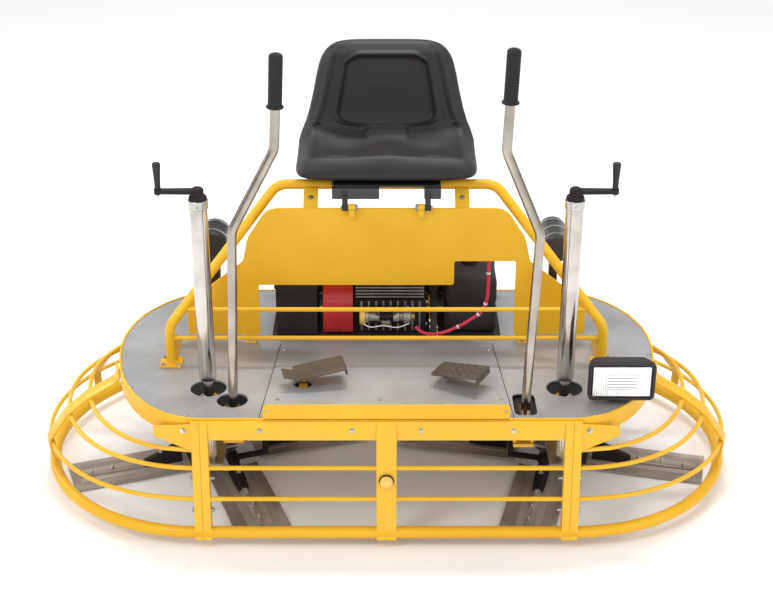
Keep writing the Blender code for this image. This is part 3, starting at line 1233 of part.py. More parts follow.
def on_stalk(body, at, half):
    """Stand a canister on a square stalk with a foot plate on the deck."""
    x, y, z = at
    low = DECK_TOP + FIT_GAP
    stalk = block("stalk", (x - half, y - half, low), (x + half, y + half, z))
    foot = block("foot", (x - STALK_FOOT, y - STALK_FOOT, low),
                 (x + STALK_FOOT, y + STALK_FOOT, DECK_TOP + 0.006))
    return weld(body, stalk, foot)


def air_cleaner():
    """The round filter canister beside the engine, on its stalk."""
    x, y, z = CLEANER_AT
    radius, length = CLEANER_RADIUS, CLEANER_LENGTH
    body = turned("filter", [
        (0, 0), (radius - 0.004, 0), (radius, 0.006), (radius, length - 0.012), (radius - 0.004, length - 0.004),
        (0.020, length), (0, length),
    ], (x, y - length / 2, z), "Y", 24)
    return finish(on_stalk(body, CLEANER_AT, 0.015), "air_cleaner", "black")


def muffler():
    """The exhaust drum on the other side, on its stalk."""
    x, y, z = MUFFLER_AT
    radius, length = MUFFLER_RADIUS, MUFFLER_LENGTH
    body = turned("drum", [
        (0, 0), (radius - 0.006, 0), (radius, 0.006), (radius, length - 0.006), (radius - 0.006, length),
        (TAIL_RADIUS, length), (TAIL_RADIUS, length + TAIL_LENGTH), (0, length + TAIL_LENGTH),
    ], (x, y - length / 2, z), "Y", 24)
    return finish(on_stalk(body, MUFFLER_AT, 0.012), "muffler", "black")


def battery_box():
    """The black battery on the left of the bay."""
    low = DECK_TOP - DECK_THICKNESS
    (x0, x1), (y0, y1), edge = BATTERY_X, BATTERY_Y, BATTERY_LID
    body = block("box", (x0, y0, low), (x1, y1, BATTERY_TOP))
    lid = block("lid", (x0 - edge, y0 - edge, BATTERY_TOP - 0.008),
                (x1 + edge, y1 + edge, BATTERY_TOP + 0.016))
    weld(body, lid)
    for y in (y0 + 0.030, y1 - 0.030):
        weld(body, rod("terminal", ((x0 + x1) / 2, y, BATTERY_TOP + 0.010), 0.009, 0.022, "Z", 12))
    return finish(body, "battery_box", "black")


def fuel_tank():
    """The moulded fuel tank on the right of the bay."""
    low = DECK_TOP - DECK_THICKNESS
    (x0, x1), (y0, y1), edge = TANK_X, TANK_Y, TANK_EDGE
    outline = [(x0, low), (x1, low), (x1, TANK_TOP - edge), (x1 - edge, TANK_TOP), (x0 + edge, TANK_TOP),
               (x0, TANK_TOP - edge)]
    body = prism("tank", outline, y0, y1, "Y")
    weld(body, rod("cap", ((x0 + x1) / 2, y0 + 0.140, TANK_TOP - 0.005), 0.026, 0.024, "Z", 20))
    return finish(body, "fuel_tank", "black")


def battery_cable():
    """The red cable that droops across the bay and is clipped at both ends."""
    y = CABLE_Y
    route = [
        (0.083, y + 0.008, 0.405), (0.105, y, 0.391), (0.135, y, 0.386), (0.170, y, 0.394),
        (0.205, y, 0.410), (0.240, y, 0.432), (0.268, y, 0.455), (0.284, y, 0.490),
        (0.288, y, 0.530), (0.288, y, 0.575), (0.288, y, 0.635),
    ]
    smooth = []
    knots = [Vector(p) for p in route]
    for i in range(len(knots) - 1):
        before = knots[max(i - 1, 0)]
        start, end = knots[i], knots[i + 1]
        after = knots[min(i + 2, len(knots) - 1)]
        for k in range(2):
            t = k / 2
            smooth.append(0.5 * (2 * start + (end - before) * t
                                 + (2 * before - 5 * start + 4 * end - after) * t * t
                                 + (3 * start - before - 3 * end + after) * t ** 3))
    smooth.append(knots[-1])
    return finish(tube("cable", smooth, CABLE_RADIUS, 8), "battery_cable", "red")


def drive_shaft():
    """The cross shaft with its big pulley and a flange at each end."""
    half = ROTOR_X - 0.095 - 0.006
    flange = 0.028
    wheel_low = PULLEY_X - BELT_WIDTH / 2
    wheel_high = PULLEY_X + BELT_WIDTH / 2
    profile = [
        (0, -half), (flange, -half), (flange, 0.030 - half), (DRIVE_RADIUS, 0.032 - half),
        (DRIVE_RADIUS, wheel_low - 0.022), (flange, wheel_low - 0.020), (flange, wheel_low),
        (SHAFT_PULLEY, wheel_low), (SHAFT_PULLEY, wheel_high), (flange, wheel_high),
        (flange, wheel_high + 0.020), (DRIVE_RADIUS, wheel_high + 0.022), (DRIVE_RADIUS, half - 0.032),
        (flange, half - 0.030), (flange, half), (0, half),
    ]
    body = turned("shaft", profile, (0, 0, TILT_Z), "X", 20)
    return finish(body, "drive_shaft", "steel", (0, 0, TILT_Z))


def drive_belt():
    """The belt from the engine's pulley down to the cross shaft's."""
    top = Vector((CRANKSHAFT_Y, CRANKSHAFT_Z))
    bottom = Vector((0.0, TILT_Z))
    along = (top - bottom).normalized()
    spread = (top - bottom).length
    heading = math.atan2(along.y, along.x)

    steps = 12

    def loop(grow):
        """The belt's line round both pulleys, outside their rims at every chord."""
        small = ENGINE_PULLEY + FIT_GAP
        large = SHAFT_PULLEY + FIT_GAP
        tilt = math.acos((large - small) / spread)
        points = []
        for centre, radius, start, end in (
            (bottom, large, heading + tilt, heading + 2 * math.pi - tilt),
            (top, small, heading - tilt, heading + tilt),
        ):
            step = (end - start) / steps
            reach = radius / math.cos(step / 2) + grow
            for k in range(steps + 1):
                angle = start + step * k
                points.append((centre.x + reach * math.cos(angle), centre.y + reach * math.sin(angle)))
        return points

    low = PULLEY_X - BELT_WIDTH / 2 + 0.001
    high = PULLEY_X + BELT_WIDTH / 2 - 0.001
    body = prism("belt", loop(BELT_THICKNESS), low, high, "X")
    cut(body, prism("inside", loop(0.0), low - 0.01, high + 0.01, "X"))
    return finish(body, "drive_belt", "black")


# ---------------------------------------------------------------- build
def build():
    """Clear the scene and make every piece."""
    for obj in list(bpy.data.objects):
        bpy.data.objects.remove(obj)
    for side in (-1, 1):
        guard_end(side, f"guard_{SIDE_NAMES[side]}_end")
    guard_front()
    guard_rear()
    bumper_knob()
    main_frame()
    deck_floor()
    deck_cover()
    front_panel()
    arch_frame()
    seat_frame()
    seat()
    for side, first in ((-1, LEFT_BLADE_ANGLE), (1, RIGHT_BLADE_ANGLE)):
        spider(side, first)
        collar(side)
        gearbox(side)
        crank_post(side)
        crank(side)
        crank_handle(side)
        lever(side)
        grip(side)
        pedal(side)
        for index in range(4):
            arm(side, index + 1, first + 90 * index)
            blade(side, index + 1, first + 90 * index)
    lever_gimbal()
    lamp_bracket()
    lamp_housing()
    lamp_lens()
    engine_block()
    fan_housing()
    carburettor()
    air_cleaner()
    muffler()
    battery_box()
    fuel_tank()
    battery_cable()
    drive_shaft()
    drive_belt()


build()
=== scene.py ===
import logging
import math
from dataclasses import dataclass
from enum import Enum
from typing import Iterable, Sequence

import bmesh
import bpy
import numpy as np
from mathutils import Matrix, Vector


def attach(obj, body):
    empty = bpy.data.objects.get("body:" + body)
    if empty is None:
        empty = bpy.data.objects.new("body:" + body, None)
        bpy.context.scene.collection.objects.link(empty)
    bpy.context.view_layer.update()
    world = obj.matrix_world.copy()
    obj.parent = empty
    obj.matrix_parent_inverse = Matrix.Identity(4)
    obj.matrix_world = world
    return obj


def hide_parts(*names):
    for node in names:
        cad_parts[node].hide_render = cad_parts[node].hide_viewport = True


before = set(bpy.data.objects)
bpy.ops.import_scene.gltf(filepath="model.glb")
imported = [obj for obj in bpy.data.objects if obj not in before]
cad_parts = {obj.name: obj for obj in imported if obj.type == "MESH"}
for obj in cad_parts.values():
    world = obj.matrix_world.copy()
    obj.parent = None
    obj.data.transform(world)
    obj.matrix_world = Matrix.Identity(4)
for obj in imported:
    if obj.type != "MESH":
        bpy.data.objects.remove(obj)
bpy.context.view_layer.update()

LOG = logging.getLogger("trowel")
Array = np.ndarray
Point = Sequence[float]
SIDES = {-1: "left", 1: "right"}
CRANK_POSTS = ((-0.480, -0.283), (0.480, -0.283))
LEVER_ROOTS = {-1: (-0.410, -0.350), 1: (0.365, -0.372)}
PEDAL_POSTS = {-1: (-0.226, -0.262), 1: (0.158, -0.246)}
PEDAL_HEADINGS = {-1: 12.0, 1: -28.0}
PEDAL_PIVOT_Z = 0.394
LEVER_PIVOT_Z = 0.290


# ---------------------------------------------------------------- surfaces
@dataclass
class Surface:
    """Points and faces of one closed shape; grain holds the points as they were before any turn."""

    points: Array
    faces: list
    grain: Array | None = None

    def placed(self, turn: Array, offset: Point = (0, 0, 0)) -> "Surface":
        """The shape turned by a 3 x 3 matrix, then moved by an offset."""
        grain = self.points if self.grain is None else self.grain
        return Surface(self.points @ np.asarray(turn).T + np.asarray(offset), self.faces, grain)

    def moved(self, offset: Point) -> "Surface":
        """The shape moved by an offset."""
        return self.placed(np.eye(3), offset)

    def turned(self, degrees: float, axis: str = "Z", about: Point = (0, 0, 0)) -> "Surface":
        """The shape turned about a line along an axis through a point."""
        turn = np.array(Matrix.Rotation(math.radians(degrees), 3, axis))
        about = np.asarray(about, float)
        return self.placed(turn, about - turn @ about)


def unit(vectors: Array) -> Array:
    """Vectors divided by their lengths."""
    return vectors / np.linalg.norm(vectors, axis=-1, keepdims=True)


def ease(value: Array, low: float, high: float) -> Array:
    """Smooth step: 0 below low, 1 above high, 3t^2 - 2t^3 between."""
    share = np.clip((value - low) / (high - low), 0.0, 1.0)
    return share * share * (3 - 2 * share)


def grid(points: Array, wrap: bool = True, caps: bool = True) -> Surface:
    """Quads over a grid of points.

    Args:
        points: rows x columns x 3 array, a function of two parameters.
        wrap: joins the last column to the first.
        caps: closes the first and last row with one face each.

    Returns:
        The surface over the grid.
    """
    rows, columns = points.shape[:2]
    start = np.arange(rows - 1)[:, None] * columns
    here = np.arange(columns if wrap else columns - 1)[None, :]
    after = (here + 1) % columns
    quads = np.stack([start + here, start + after, start + columns + after, start + columns + here], -1)
    faces = quads.reshape(-1, 4).tolist()
    if caps:
        faces.append(list(range(columns)))
        faces.append(list(range((rows - 1) * columns, rows * columns)))
    return Surface(points.reshape(-1, 3), faces)


def curve(knots: Sequence[Point], count: int, closed: bool = False) -> Array:
    """A Catmull-Rom curve through the knots, with its points evenly spaced by length.

    Args:
        knots: points it passes through.
        count: points in the result.
        closed: whether it returns to its start.

    Returns:
        The points along the curve.
    """
    knots = np.asarray(knots, float)
    if closed:
        padded = np.vstack([knots[-1:], knots, knots[:2]])
    else:
        padded = np.vstack([2 * knots[0] - knots[1], knots, 2 * knots[-1] - knots[-2]])
    spans = len(padded) - 3
    t = np.linspace(0, spans, 24 * spans + 1)
    i = np.minimum(t.astype(int), spans - 1)
    f = (t - i)[:, None]
    a, b, c, d = (padded[i + k] for k in range(4))
    fine = 0.5 * (2 * b + (c - a) * f + (2 * a - 5 * b + 4 * c - d) * f ** 2 + (3 * b - a - 3 * c + d)
                  * f ** 3)
    length = np.concatenate([[0], np.cumsum(np.linalg.norm(np.diff(fine, axis=0), axis=1))])
    at = np.linspace(0, length[-1], count, endpoint=not closed)
    return np.stack([np.interp(at, length, fine[:, k]) for k in range(fine.shape[1])], 1)


def bent(corners: Sequence[Point], radius: float, steps: int = 12) -> Array:
    """A path through the corners, each rounded by a quadratic curve of about the radius.

    Args:
        corners: where the straight runs would meet.
        radius: bending radius at each.
        steps: points in a bend.

    Returns:
        The path of a bent bar.
    """
    corners = np.asarray(corners, float)
    t = np.linspace(0, 1, steps)[:, None]
    path = [corners[:1]]
    for before, corner, after in zip(corners, corners[1:], corners[2:]):
        into, out = unit(corner - before), unit(after - corner)
        half = math.acos(float(np.clip(into @ out, -1, 1))) / 2
        start, end = corner - into * radius * math.tan(half), corner + out * radius * math.tan(half)
        path.append(start * (1 - t) ** 2 + corner * 2 * t * (1 - t) + end * t ** 2)
    path.append(corners[-1:])
    return np.vstack(path)


def sweep(path: Array, section: Array, up: Point = (0, 0, 1), closed: bool = False,
          scale: Array | float = 1.0) -> Surface:
    """A section carried along a path.

    A section point (a, b) lands at path + a * side + b * lift, with side = tangent x up and
    lift = side x tangent, both of unit length.

    Args:
        path: n x 3 points.
        section: m x 2 points of a closed outline.
        up: direction that is never parallel to the path.
        closed: joins the path's end to its start.
        scale: one number, or one for each path point.

    Returns:
        The closed surface.
    """
    tangent = np.roll(path, -1, 0) - np.roll(path, 1, 0) if closed else np.gradient(path, axis=0)
    tangent = unit(tangent)
    side = unit(np.cross(tangent, np.asarray(up, float)))
    lift = np.cross(side, tangent)
    scale = np.broadcast_to(np.asarray(scale, float), (len(path),))[:, None, None]
    across, above = section[None, :, :1] * scale, section[None, :, 1:] * scale
    points = path[:, None, :] + across * side[:, None, :] + above * lift[:, None, :]
    if closed:
        points = np.concatenate([points, points[:1]])
    return grid(points, caps=not closed)


def circle(sides: int, radius: float = 1.0) -> Array:
    """Points round a circle."""
    angle = np.linspace(0, 2 * math.pi, sides, endpoint=False)
    return radius * np.stack([np.cos(angle), np.sin(angle)], 1)


def tube(path: Array | Sequence[Point], radius: float, sides: int = 20, up: Point = (0, 0, 1),
         scale: Array | float = 1.0) -> Surface:
    """A round bar along a path."""
    return sweep(np.asarray(path, float), circle(sides, radius), up, scale=scale)


def lathe(profile: Sequence[Point], centre: Point, along: Point = (0, 0, 1), sides: int = 32,
          closed: bool = False) -> Surface:
    """A profile of (radius, height) turned about a line: r cos t and r sin t across it, height along it.

    Args:
        profile: (radius, height) pairs.
        centre: where height is 0.
        along: the line's direction.
        sides: points round it.
        closed: whether the profile returns to its start.

    Returns:
        The turned surface.
    """
    profile = np.asarray(profile, float)
    axis = unit(np.asarray(along, float))
    first = unit(np.cross(axis, (0, 0, 1) if abs(axis[2]) < 0.9 else (1, 0, 0)))
    second = np.cross(axis, first)
    ring = circle(sides)
    across = ring[:, :1] * first + ring[:, 1:] * second
    if closed:
        profile = np.vstack([profile, profile[:1]])
    points = profile[:, None, :1] * across[None] + profile[:, None, 1:] * axis + np.asarray(centre, float)
    return grid(points, caps=False)


def prism(outline: Array | Sequence[Point], low: float, high: float, axis: str = "Z") -> Surface:
    """An outline pushed from low to high; it lies in XY for Z, XZ for Y and YZ for X.

    Args:
        outline: its flat outline.
        low: where it starts.
        high: where it ends.
        axis: the way it is pushed.

    Returns:
        The closed prism.
    """
    outline = np.asarray(outline, float)
    order = {"Z": (0, 1, 2), "Y": (0, 2, 1), "X": (2, 0, 1)}[axis]
    ends = [np.column_stack([outline, np.full(len(outline), level)])[:, order] for level in (low, high)]
    return grid(np.stack(ends))


def block(low: Point, high: Point) -> Surface:
    """A box between two corners, whose edges a Bevel rounds later."""
    return prism([(low[0], low[1]), (high[0], low[1]), (high[0], high[1]), (low[0], high[1])], low[2],
                 high[2])


def plate(width: float, height: float, corner: float, steps: int = 6) -> Array:
    """A rounded rectangle about the origin.

    Args:
        width: across.
        height: the other way.
        corner: corner radius.
        steps: points in a corner.

    Returns:
        The outline.
    """
    angle = np.linspace(0, math.pi / 2, steps)
    arc = corner * np.stack([np.cos(angle), np.sin(angle)], 1)
    turns = [np.array([[c, -s], [s, c]]) for c, s in ((1, 0), (0, 1), (-1, 0), (0, -1))]
    centres = np.array([(1, 1), (-1, 1), (-1, -1), (1, -1)]) * (width / 2 - corner, height / 2 - corner)
    return np.vstack([arc @ turn.T + centre for turn, centre in zip(turns, centres)])


def loft(loops: Sequence[Array]) -> Surface:
    """A skin over closed loops of the same number of points, capped at both ends."""
    return grid(np.stack(loops))


def eased(outline: Sequence[Point], radius: float, steps: int = 6) -> Array:
    """A closed outline whose corners are rounded by a quadratic curve, less where an edge is short.

    Args:
        outline: corners in order.
        radius: how far each is cut back.
        steps: points in a corner.

    Returns:
        The rounded outline.
    """
    outline = np.asarray(outline, float)
    t = np.linspace(0, 1, steps)[:, None]
    parts = []
    for before, corner, after in zip(np.roll(outline, 1, 0), outline, np.roll(outline, -1, 0)):
        back, ahead = before - corner, after - corner
        cut = min(radius, np.linalg.norm(back) * 0.45, np.linalg.norm(ahead) * 0.45)
        start, end = corner + unit(back) * cut, corner + unit(ahead) * cut
        parts.append(start * (1 - t) ** 2 + corner * 2 * t * (1 - t) + end * t ** 2)
    return np.vstack(parts)


# ---------------------------------------------------------------- fasteners and welds
def hex_bolt(centre: Point, along: Point, size: float) -> list[Surface]:
    """A washer and a chamfered hexagon head that stands out along a direction."""
    washer = [(0, 0), (1.35 * size, 0), (1.35 * size, 0.22 * size), (0, 0.24 * size)]
    head = [(0, 0.2 * size), (size, 0.2 * size), (size, 0.82 * size), (0.86 * size, 0.95 * size),
            (0, 0.97 * size)]
    return [lathe(washer, centre, along, 20), lathe(head, centre, along, 6)]


def stud(centre: Point, along: Point, size: float) -> list[Surface]:
    """A nut on its washer with the thread's end standing through it."""
    thread = [(0, 0), (0.55 * size, 0), (0.55 * size, 1.7 * size), (0.45 * size, 1.85 * size),
              (0, 1.85 * size)]
    return hex_bolt(centre, along, size) + [lathe(thread, centre, along, 12)]


def screw(centre: Point, along: Point, radius: float) -> list[Surface]:
    """A low domed screw head with a hexagon socket sunk in it."""
    dome = [(0, 0.25 * radius), (0.42 * radius, 0.25 * radius), (0.48 * radius, 0.62 * radius),
            (0.8 * radius, 0.45 * radius), (radius, 0.12 * radius), (radius, -0.3 * radius),
            (0, -0.3 * radius)]
    return [lathe(dome, centre, along, 18)]


def bead(centre: Point, along: Point, radius: float, size: float = 0.0022) -> Surface:
    """A rippled weld bead round a bar: radius + size * |cos| lumps, half round in section.

    Args:
        centre: middle of the ring.
        along: the tube's direction.
        radius: the tube's radius.
        size: the bead's own radius.

    Returns:
        The weld bead.
    """
    angle = np.linspace(0, 2 * math.pi, 28, endpoint=False)
    arc = np.linspace(-0.5 * math.pi, 0.5 * math.pi, 5)
    lumps = 1 + 0.25 * np.cos(7 * angle)
    reach = radius * 0.92 + size * np.cos(arc)[:, None] * lumps[None]
    axis = unit(np.asarray(along, float))
    first = unit(np.cross(axis, (0, 0, 1) if abs(axis[2]) < 0.9 else (1, 0, 0)))
    second = np.cross(axis, first)
    across = np.cos(angle)[:, None] * first + np.sin(angle)[:, None] * second
    height = size * np.sin(arc)[:, None, None] * axis
    return grid(np.asarray(centre, float) + reach[..., None] * across[None] + height)


# ---------------------------------------------------------------- finishes
class Grain(Enum):
    """How a surface was made."""

    SPRAYED = "sprayed paint"
    ROLLED = "rolled plate"
    POLISHED = "polished tube"
    TROWELLED = "blade worn by concrete"
    CAST = "sand casting"
    LEATHER = "grained vinyl"
    MOULDED = "moulded plastic"
    CLEAR = "pressed glass"
    SMOOTH = "studio floor"


class Shader:
    """The node tree of one finish while it is wired."""

    def __init__(self, name: str, cad: bool) -> None:
        """Args: name is the material's; cad reads Object coordinates, else the piece's grain."""
        self.material = bpy.data.materials.new(name)
        self.material.use_nodes = True
        self.tree = self.material.node_tree
        self.main = self.tree.nodes["Principled BSDF"]
        if cad:
            self.place = self.tree.nodes.new("ShaderNodeTexCoord").outputs["Object"]
        else:
            attribute = self.tree.nodes.new("ShaderNodeAttribute")
            attribute.attribute_name = "grain"
            self.place = attribute.outputs["Vector"]

    def set(self, **values: float | tuple) -> None:
        """Set the shader's own sockets, named with underscores for spaces."""
        for name, value in values.items():
            self.main.inputs[name.replace("_", " ")].default_value = value

    def stretched(self, stretch: Point) -> bpy.types.NodeSocket:
        """The coordinates scaled along each axis."""
        node = self.tree.nodes.new("ShaderNodeMapping")
        node.inputs["Scale"].default_value = stretch
        self.tree.links.new(self.place, node.inputs["Vector"])
        return node.outputs["Vector"]

    def noise(self, scale: float, detail: float = 3.0, stretch: Point = (1, 1, 1),
              distortion: float = 0.0) -> bpy.types.NodeSocket:
        """Fractal noise with about `scale` features in a metre.

        Args:
            scale: how fine it is.
            detail: octaves.
            stretch: scale along each axis.
            distortion: how much it swirls.

        Returns:
            The socket with the value.
        """
        node = self.tree.nodes.new("ShaderNodeTexNoise")
        node.inputs["Scale"].default_value = scale
        node.inputs["Detail"].default_value = detail
        node.inputs["Distortion"].default_value = distortion
        self.tree.links.new(self.stretched(stretch), node.inputs["Vector"])
        return node.outputs[0]

    def cells(self, scale: float) -> bpy.types.NodeSocket:
        """Distance to the nearest of scattered points."""
        node = self.tree.nodes.new("ShaderNodeTexVoronoi")
        node.inputs["Scale"].default_value = scale
        self.tree.links.new(self.place, node.inputs["Vector"])
        return node.outputs["Distance"]

    def convex(self) -> bpy.types.NodeSocket:
        """Above one half on outer edges."""
        return self.tree.nodes.new("ShaderNodeNewGeometry").outputs["Pointiness"]

    def span(self, value: bpy.types.NodeSocket, low: float, high: float,
             to_low: float = 0.0, to_high: float = 1.0) -> bpy.types.NodeSocket:
        """A value mapped from one range to another and kept within it.

        Args:
            value: what is spread.
            low: its lower end.
            high: its upper end.
            to_low: result there.
            to_high: result there.

        Returns:
            The spread value.
        """
        node = self.tree.nodes.new("ShaderNodeMapRange")
        node.interpolation_type = "SMOOTHSTEP"
        for name, number in (("From Min", low), ("From Max", high), ("To Min", to_low), ("To Max", to_high)):
            node.inputs[name].default_value = number
        self.tree.links.new(value, node.inputs["Value"])
        return node.outputs["Result"]

    def mix(self, share: bpy.types.NodeSocket, first: object, second: object) -> bpy.types.NodeSocket:
        """Two colours mixed; each is a colour or a socket.

        Args:
            share: share of the second.
            first: colour or socket.
            second: colour or socket.

        Returns:
            The mixed colour.
        """
        node = self.tree.nodes.new("ShaderNodeMix")
        node.data_type = "RGBA"
        self.tree.links.new(share, node.inputs[0])
        for socket, source in ((node.inputs[6], first), (node.inputs[7], second)):
            if isinstance(source, bpy.types.NodeSocket):
                self.tree.links.new(source, socket)
            else:
                socket.default_value = (*source, 1.0)
        return node.outputs[2]

    def colour(self, source: bpy.types.NodeSocket) -> None:
        """Lead a socket to the base colour."""
        self.tree.links.new(source, self.main.inputs["Base Color"])

    def roughness(self, source: bpy.types.NodeSocket) -> None:
        """Lead a socket to the roughness."""
        self.tree.links.new(source, self.main.inputs["Roughness"])

    def bump(self, height: bpy.types.NodeSocket, depth: float, strength: float = 1.0) -> None:
        """Add a bump, on top of those already there, of a depth in metres.

        Args:
            height: the height pattern.
            depth: its depth in metres.
            strength: share that shows.
        """
        node = self.tree.nodes.new("ShaderNodeBump")
        node.inputs["Strength"].default_value = strength
        node.inputs["Distance"].default_value = depth
        self.tree.links.new(height, node.inputs["Height"])
        socket = self.main.inputs["Normal"]
        if socket.is_linked:
            self.tree.links.new(socket.links[0].from_socket, node.inputs["Normal"])
        self.tree.links.new(node.outputs["Normal"], socket)


@dataclass(frozen=True)
class Finish:
    """One surface finish: its colours, gloss and grain."""

    name: str
    colour: tuple
    shade: tuple
    grain: Grain
    slot: str
    metallic: float = 0.0
    rough: tuple = (0.35, 0.5)
    coat: float = 0.0
    edge: tuple | None = None
    specular: float = 0.5

    def material(self, cad: bool = False) -> bpy.types.Material:
        """The material, made once for CAD nodes and once for new pieces."""
        name = f"{self.name}_flat" if cad else self.name
        found = bpy.data.materials.get(name)
        if found:
            return found
        shader = Shader(name, cad)
        shader.set(Metallic=self.metallic, Coat_Weight=self.coat, Coat_Roughness=0.08,
                   Specular_IOR_Level=self.specular)
        getattr(self, f"_{self.grain.name.lower()}")(shader)
        return shader.material

    def _base(self, shader: Shader, scale: float, stretch: Point = (1, 1, 1)) -> bpy.types.NodeSocket:
        """Broad patches of shade on the colour, with bare or pale outer edges.

        Args:
            shader: where it is built.
            scale: how fine the drift is.
            stretch: scale along each axis.

        Returns:
            The drifting colour.
        """
        tone = shader.mix(shader.span(shader.noise(scale, 4.0, stretch), 0.35, 0.68), self.colour, self.shade)
        if self.edge:
            worn = shader.span(shader.convex(), 0.53, 0.60)
            tone = shader.mix(worn, tone, self.edge)
        shader.colour(tone)
        shader.roughness(shader.span(shader.noise(scale * 3.1, 3.0, stretch), 0.3, 0.7, *self.rough))
        return tone

    def _sprayed(self, shader: Shader) -> None:
        """Paint: slow drift in tone, small dust nibs, and orange peel."""
        tone = self._base(shader, 5.0)
        nibs = shader.span(shader.noise(420.0, 1.0), 0.72, 0.80, 0.0, 0.35)
        shader.colour(shader.mix(nibs, tone, tuple(0.45 * c for c in self.colour)))
        shader.bump(shader.noise(240.0, 2.0), 0.0004, 0.18)

    def _rolled(self, shader: Shader) -> None:
        """Plate: mill streaks along X, clouds, scuffs and fine pits."""
        tone = self._base(shader, 3.2)
        streak = shader.span(shader.noise(9.0, 5.0, (1, 26, 26)), 0.40, 0.72, 0.0, 0.35)
        tone = shader.mix(streak, tone, tuple(0.72 * c for c in self.colour))
        scuff = shader.span(shader.noise(38.0, 6.0, (1, 3, 1), 1.5), 0.60, 0.74, 0.0, 0.5)
        tone = shader.mix(scuff, tone, tuple(min(1.0, 1.35 * c) for c in self.colour))
        pits = shader.span(shader.noise(520.0, 2.0), 0.66, 0.78, 0.0, 0.4)
        shader.colour(shader.mix(pits, tone, tuple(0.5 * c for c in self.colour)))
        shader.bump(shader.noise(130.0, 3.0, (0.3, 1, 1)), 0.0004, 0.12)

    def _polished(self, shader: Shader) -> None:
        """Tube: fine turning marks round it and slow clouds in the gloss."""
        self._base(shader, 14.0)
        shader.bump(shader.noise(420.0, 3.0, (1, 1, 5)), 0.0001, 0.10)

    def _trowelled(self, shader: Shader) -> None:
        """Blade: long drag marks, dark scale patches and bright rubbed streaks."""
        tone = self._base(shader, 7.0, (0.5, 1.6, 1))
        rubbed = shader.span(shader.noise(6.0, 5.0, (0.35, 3, 1), 0.4), 0.50, 0.75, 0.0, 0.6)
        tone = shader.mix(rubbed, tone, self.edge or self.colour)
        scratch = shader.span(shader.noise(60.0, 3.0, (0.12, 9, 1)), 0.64, 0.74, 0.0, 0.35)
        shader.colour(shader.mix(scratch, tone, tuple(0.35 * c for c in self.colour)))
        shader.bump(shader.noise(80.0, 4.0, (0.2, 6, 1)), 0.0003, 0.25)

    def _cast(self, shader: Shader) -> None:
        """Casting: coarse skin with fine grit."""
        self._base(shader, 16.0)
        shader.bump(shader.noise(170.0, 5.0), 0.0012, 0.35)
        shader.bump(shader.noise(900.0, 2.0), 0.0003, 0.25)

    def _leather(self, shader: Shader) -> None:
        """Vinyl: pebbled cells of about a millimetre and a half, with soft clouds in the gloss."""
        self._base(shader, 8.0)
        shader.bump(shader.cells(620.0), 0.00022, 0.20)
        shader.bump(shader.noise(190.0, 3.0), 0.0003, 0.10)

    def _moulded(self, shader: Shader) -> None:
        """Plastic and rubber: a fine even texture."""
        self._base(shader, 10.0)
        shader.bump(shader.noise(1400.0, 2.0), 0.0002, 0.25)

    def _clear(self, shader: Shader) -> None:
        """Silvered glass: bright, with faint clouds."""
        self._base(shader, 20.0)

    def _smooth(self, shader: Shader) -> None:
        """A plain matt floor with the faintest drift in tone."""
        self._base(shader, 0.6)


YELLOW = Finish("yellow_enamel", (0.830, 0.462, 0.015), (0.785, 0.410, 0.011), Grain.SPRAYED, "yellow_paint",
                0.0, (0.34, 0.48), 0.12, (0.86, 0.50, 0.045), 0.28)
DECK = Finish("deck_plate", (0.430, 0.432, 0.440), (0.330, 0.328, 0.325), Grain.ROLLED, "deck_plate",
              0.30, (0.38, 0.52), 0.0, None)
CHROME = Finish("polished_tube", (0.670, 0.630, 0.585), (0.530, 0.492, 0.452), Grain.POLISHED,
                "polished_steel",
                1.0, (0.12, 0.22))
# The same polished steel as polished_tube, given a darker tone as painted shade: it stands for the dark
# reflections the levers show.
SHADED_LEVER_STEEL = Finish("shaded_lever_steel", (0.500, 0.452, 0.392), (0.385, 0.345, 0.296), Grain.POLISHED,
                     "polished_steel",
                     1.0, (0.14, 0.24))
ZINC = Finish("zinc_plating", (0.640, 0.640, 0.610), (0.480, 0.490, 0.440), Grain.POLISHED, "machined_steel",
              0.95, (0.22, 0.40))
BLADE = Finish("worn_blade", (0.450, 0.398, 0.355), (0.290, 0.245, 0.215), Grain.TROWELLED, "blade_steel",
               0.22, (0.28, 0.42), 0.10, (0.520, 0.470, 0.430))
DARK_CAST = Finish("dark_casting", (0.040, 0.031, 0.029), (0.022, 0.018, 0.017), Grain.CAST, "dark_casting",
                   0.35, (0.34, 0.55), 0.1, (0.12, 0.10, 0.09))
ALLOY = Finish("alloy_casting", (0.430, 0.430, 0.415), (0.300, 0.305, 0.290), Grain.CAST, "cast_alloy",
               0.8, (0.32, 0.52))
BLACK = Finish("black_enamel", (0.016, 0.016, 0.017), (0.010, 0.010, 0.011), Grain.SPRAYED, "black_paint",
               0.0, (0.28, 0.45), 0.2, (0.045, 0.045, 0.045))
PLASTIC = Finish("black_plastic", (0.020, 0.020, 0.022), (0.013, 0.013, 0.014), Grain.MOULDED,
                 "black_plastic",
                 0.0, (0.38, 0.55))
VINYL = Finish("seat_vinyl", (0.0038, 0.0035, 0.0036), (0.0024, 0.0022, 0.0024), Grain.LEATHER, "seat_vinyl",
               0.0, (0.19, 0.26), 0.10, None, 0.34)
TREAD = Finish("pedal_tread", (0.125, 0.105, 0.092), (0.075, 0.062, 0.055), Grain.TROWELLED, "dark_casting",
               0.6, (0.34, 0.50), 0.0, (0.20, 0.18, 0.165))
RUBBER = Finish("grip_rubber", (0.022, 0.021, 0.021), (0.014, 0.013, 0.013), Grain.MOULDED, "grip_rubber",
                0.0, (0.48, 0.66))
BELT = Finish("belt_rubber", (0.026, 0.025, 0.024), (0.014, 0.014, 0.014), Grain.MOULDED, "belt_rubber",
              0.0, (0.6, 0.8))
RED = Finish("red_enamel", (0.560, 0.012, 0.020), (0.420, 0.008, 0.014), Grain.SPRAYED, "red_paint",
             0.0, (0.25, 0.40), 0.5, (0.70, 0.08, 0.08))
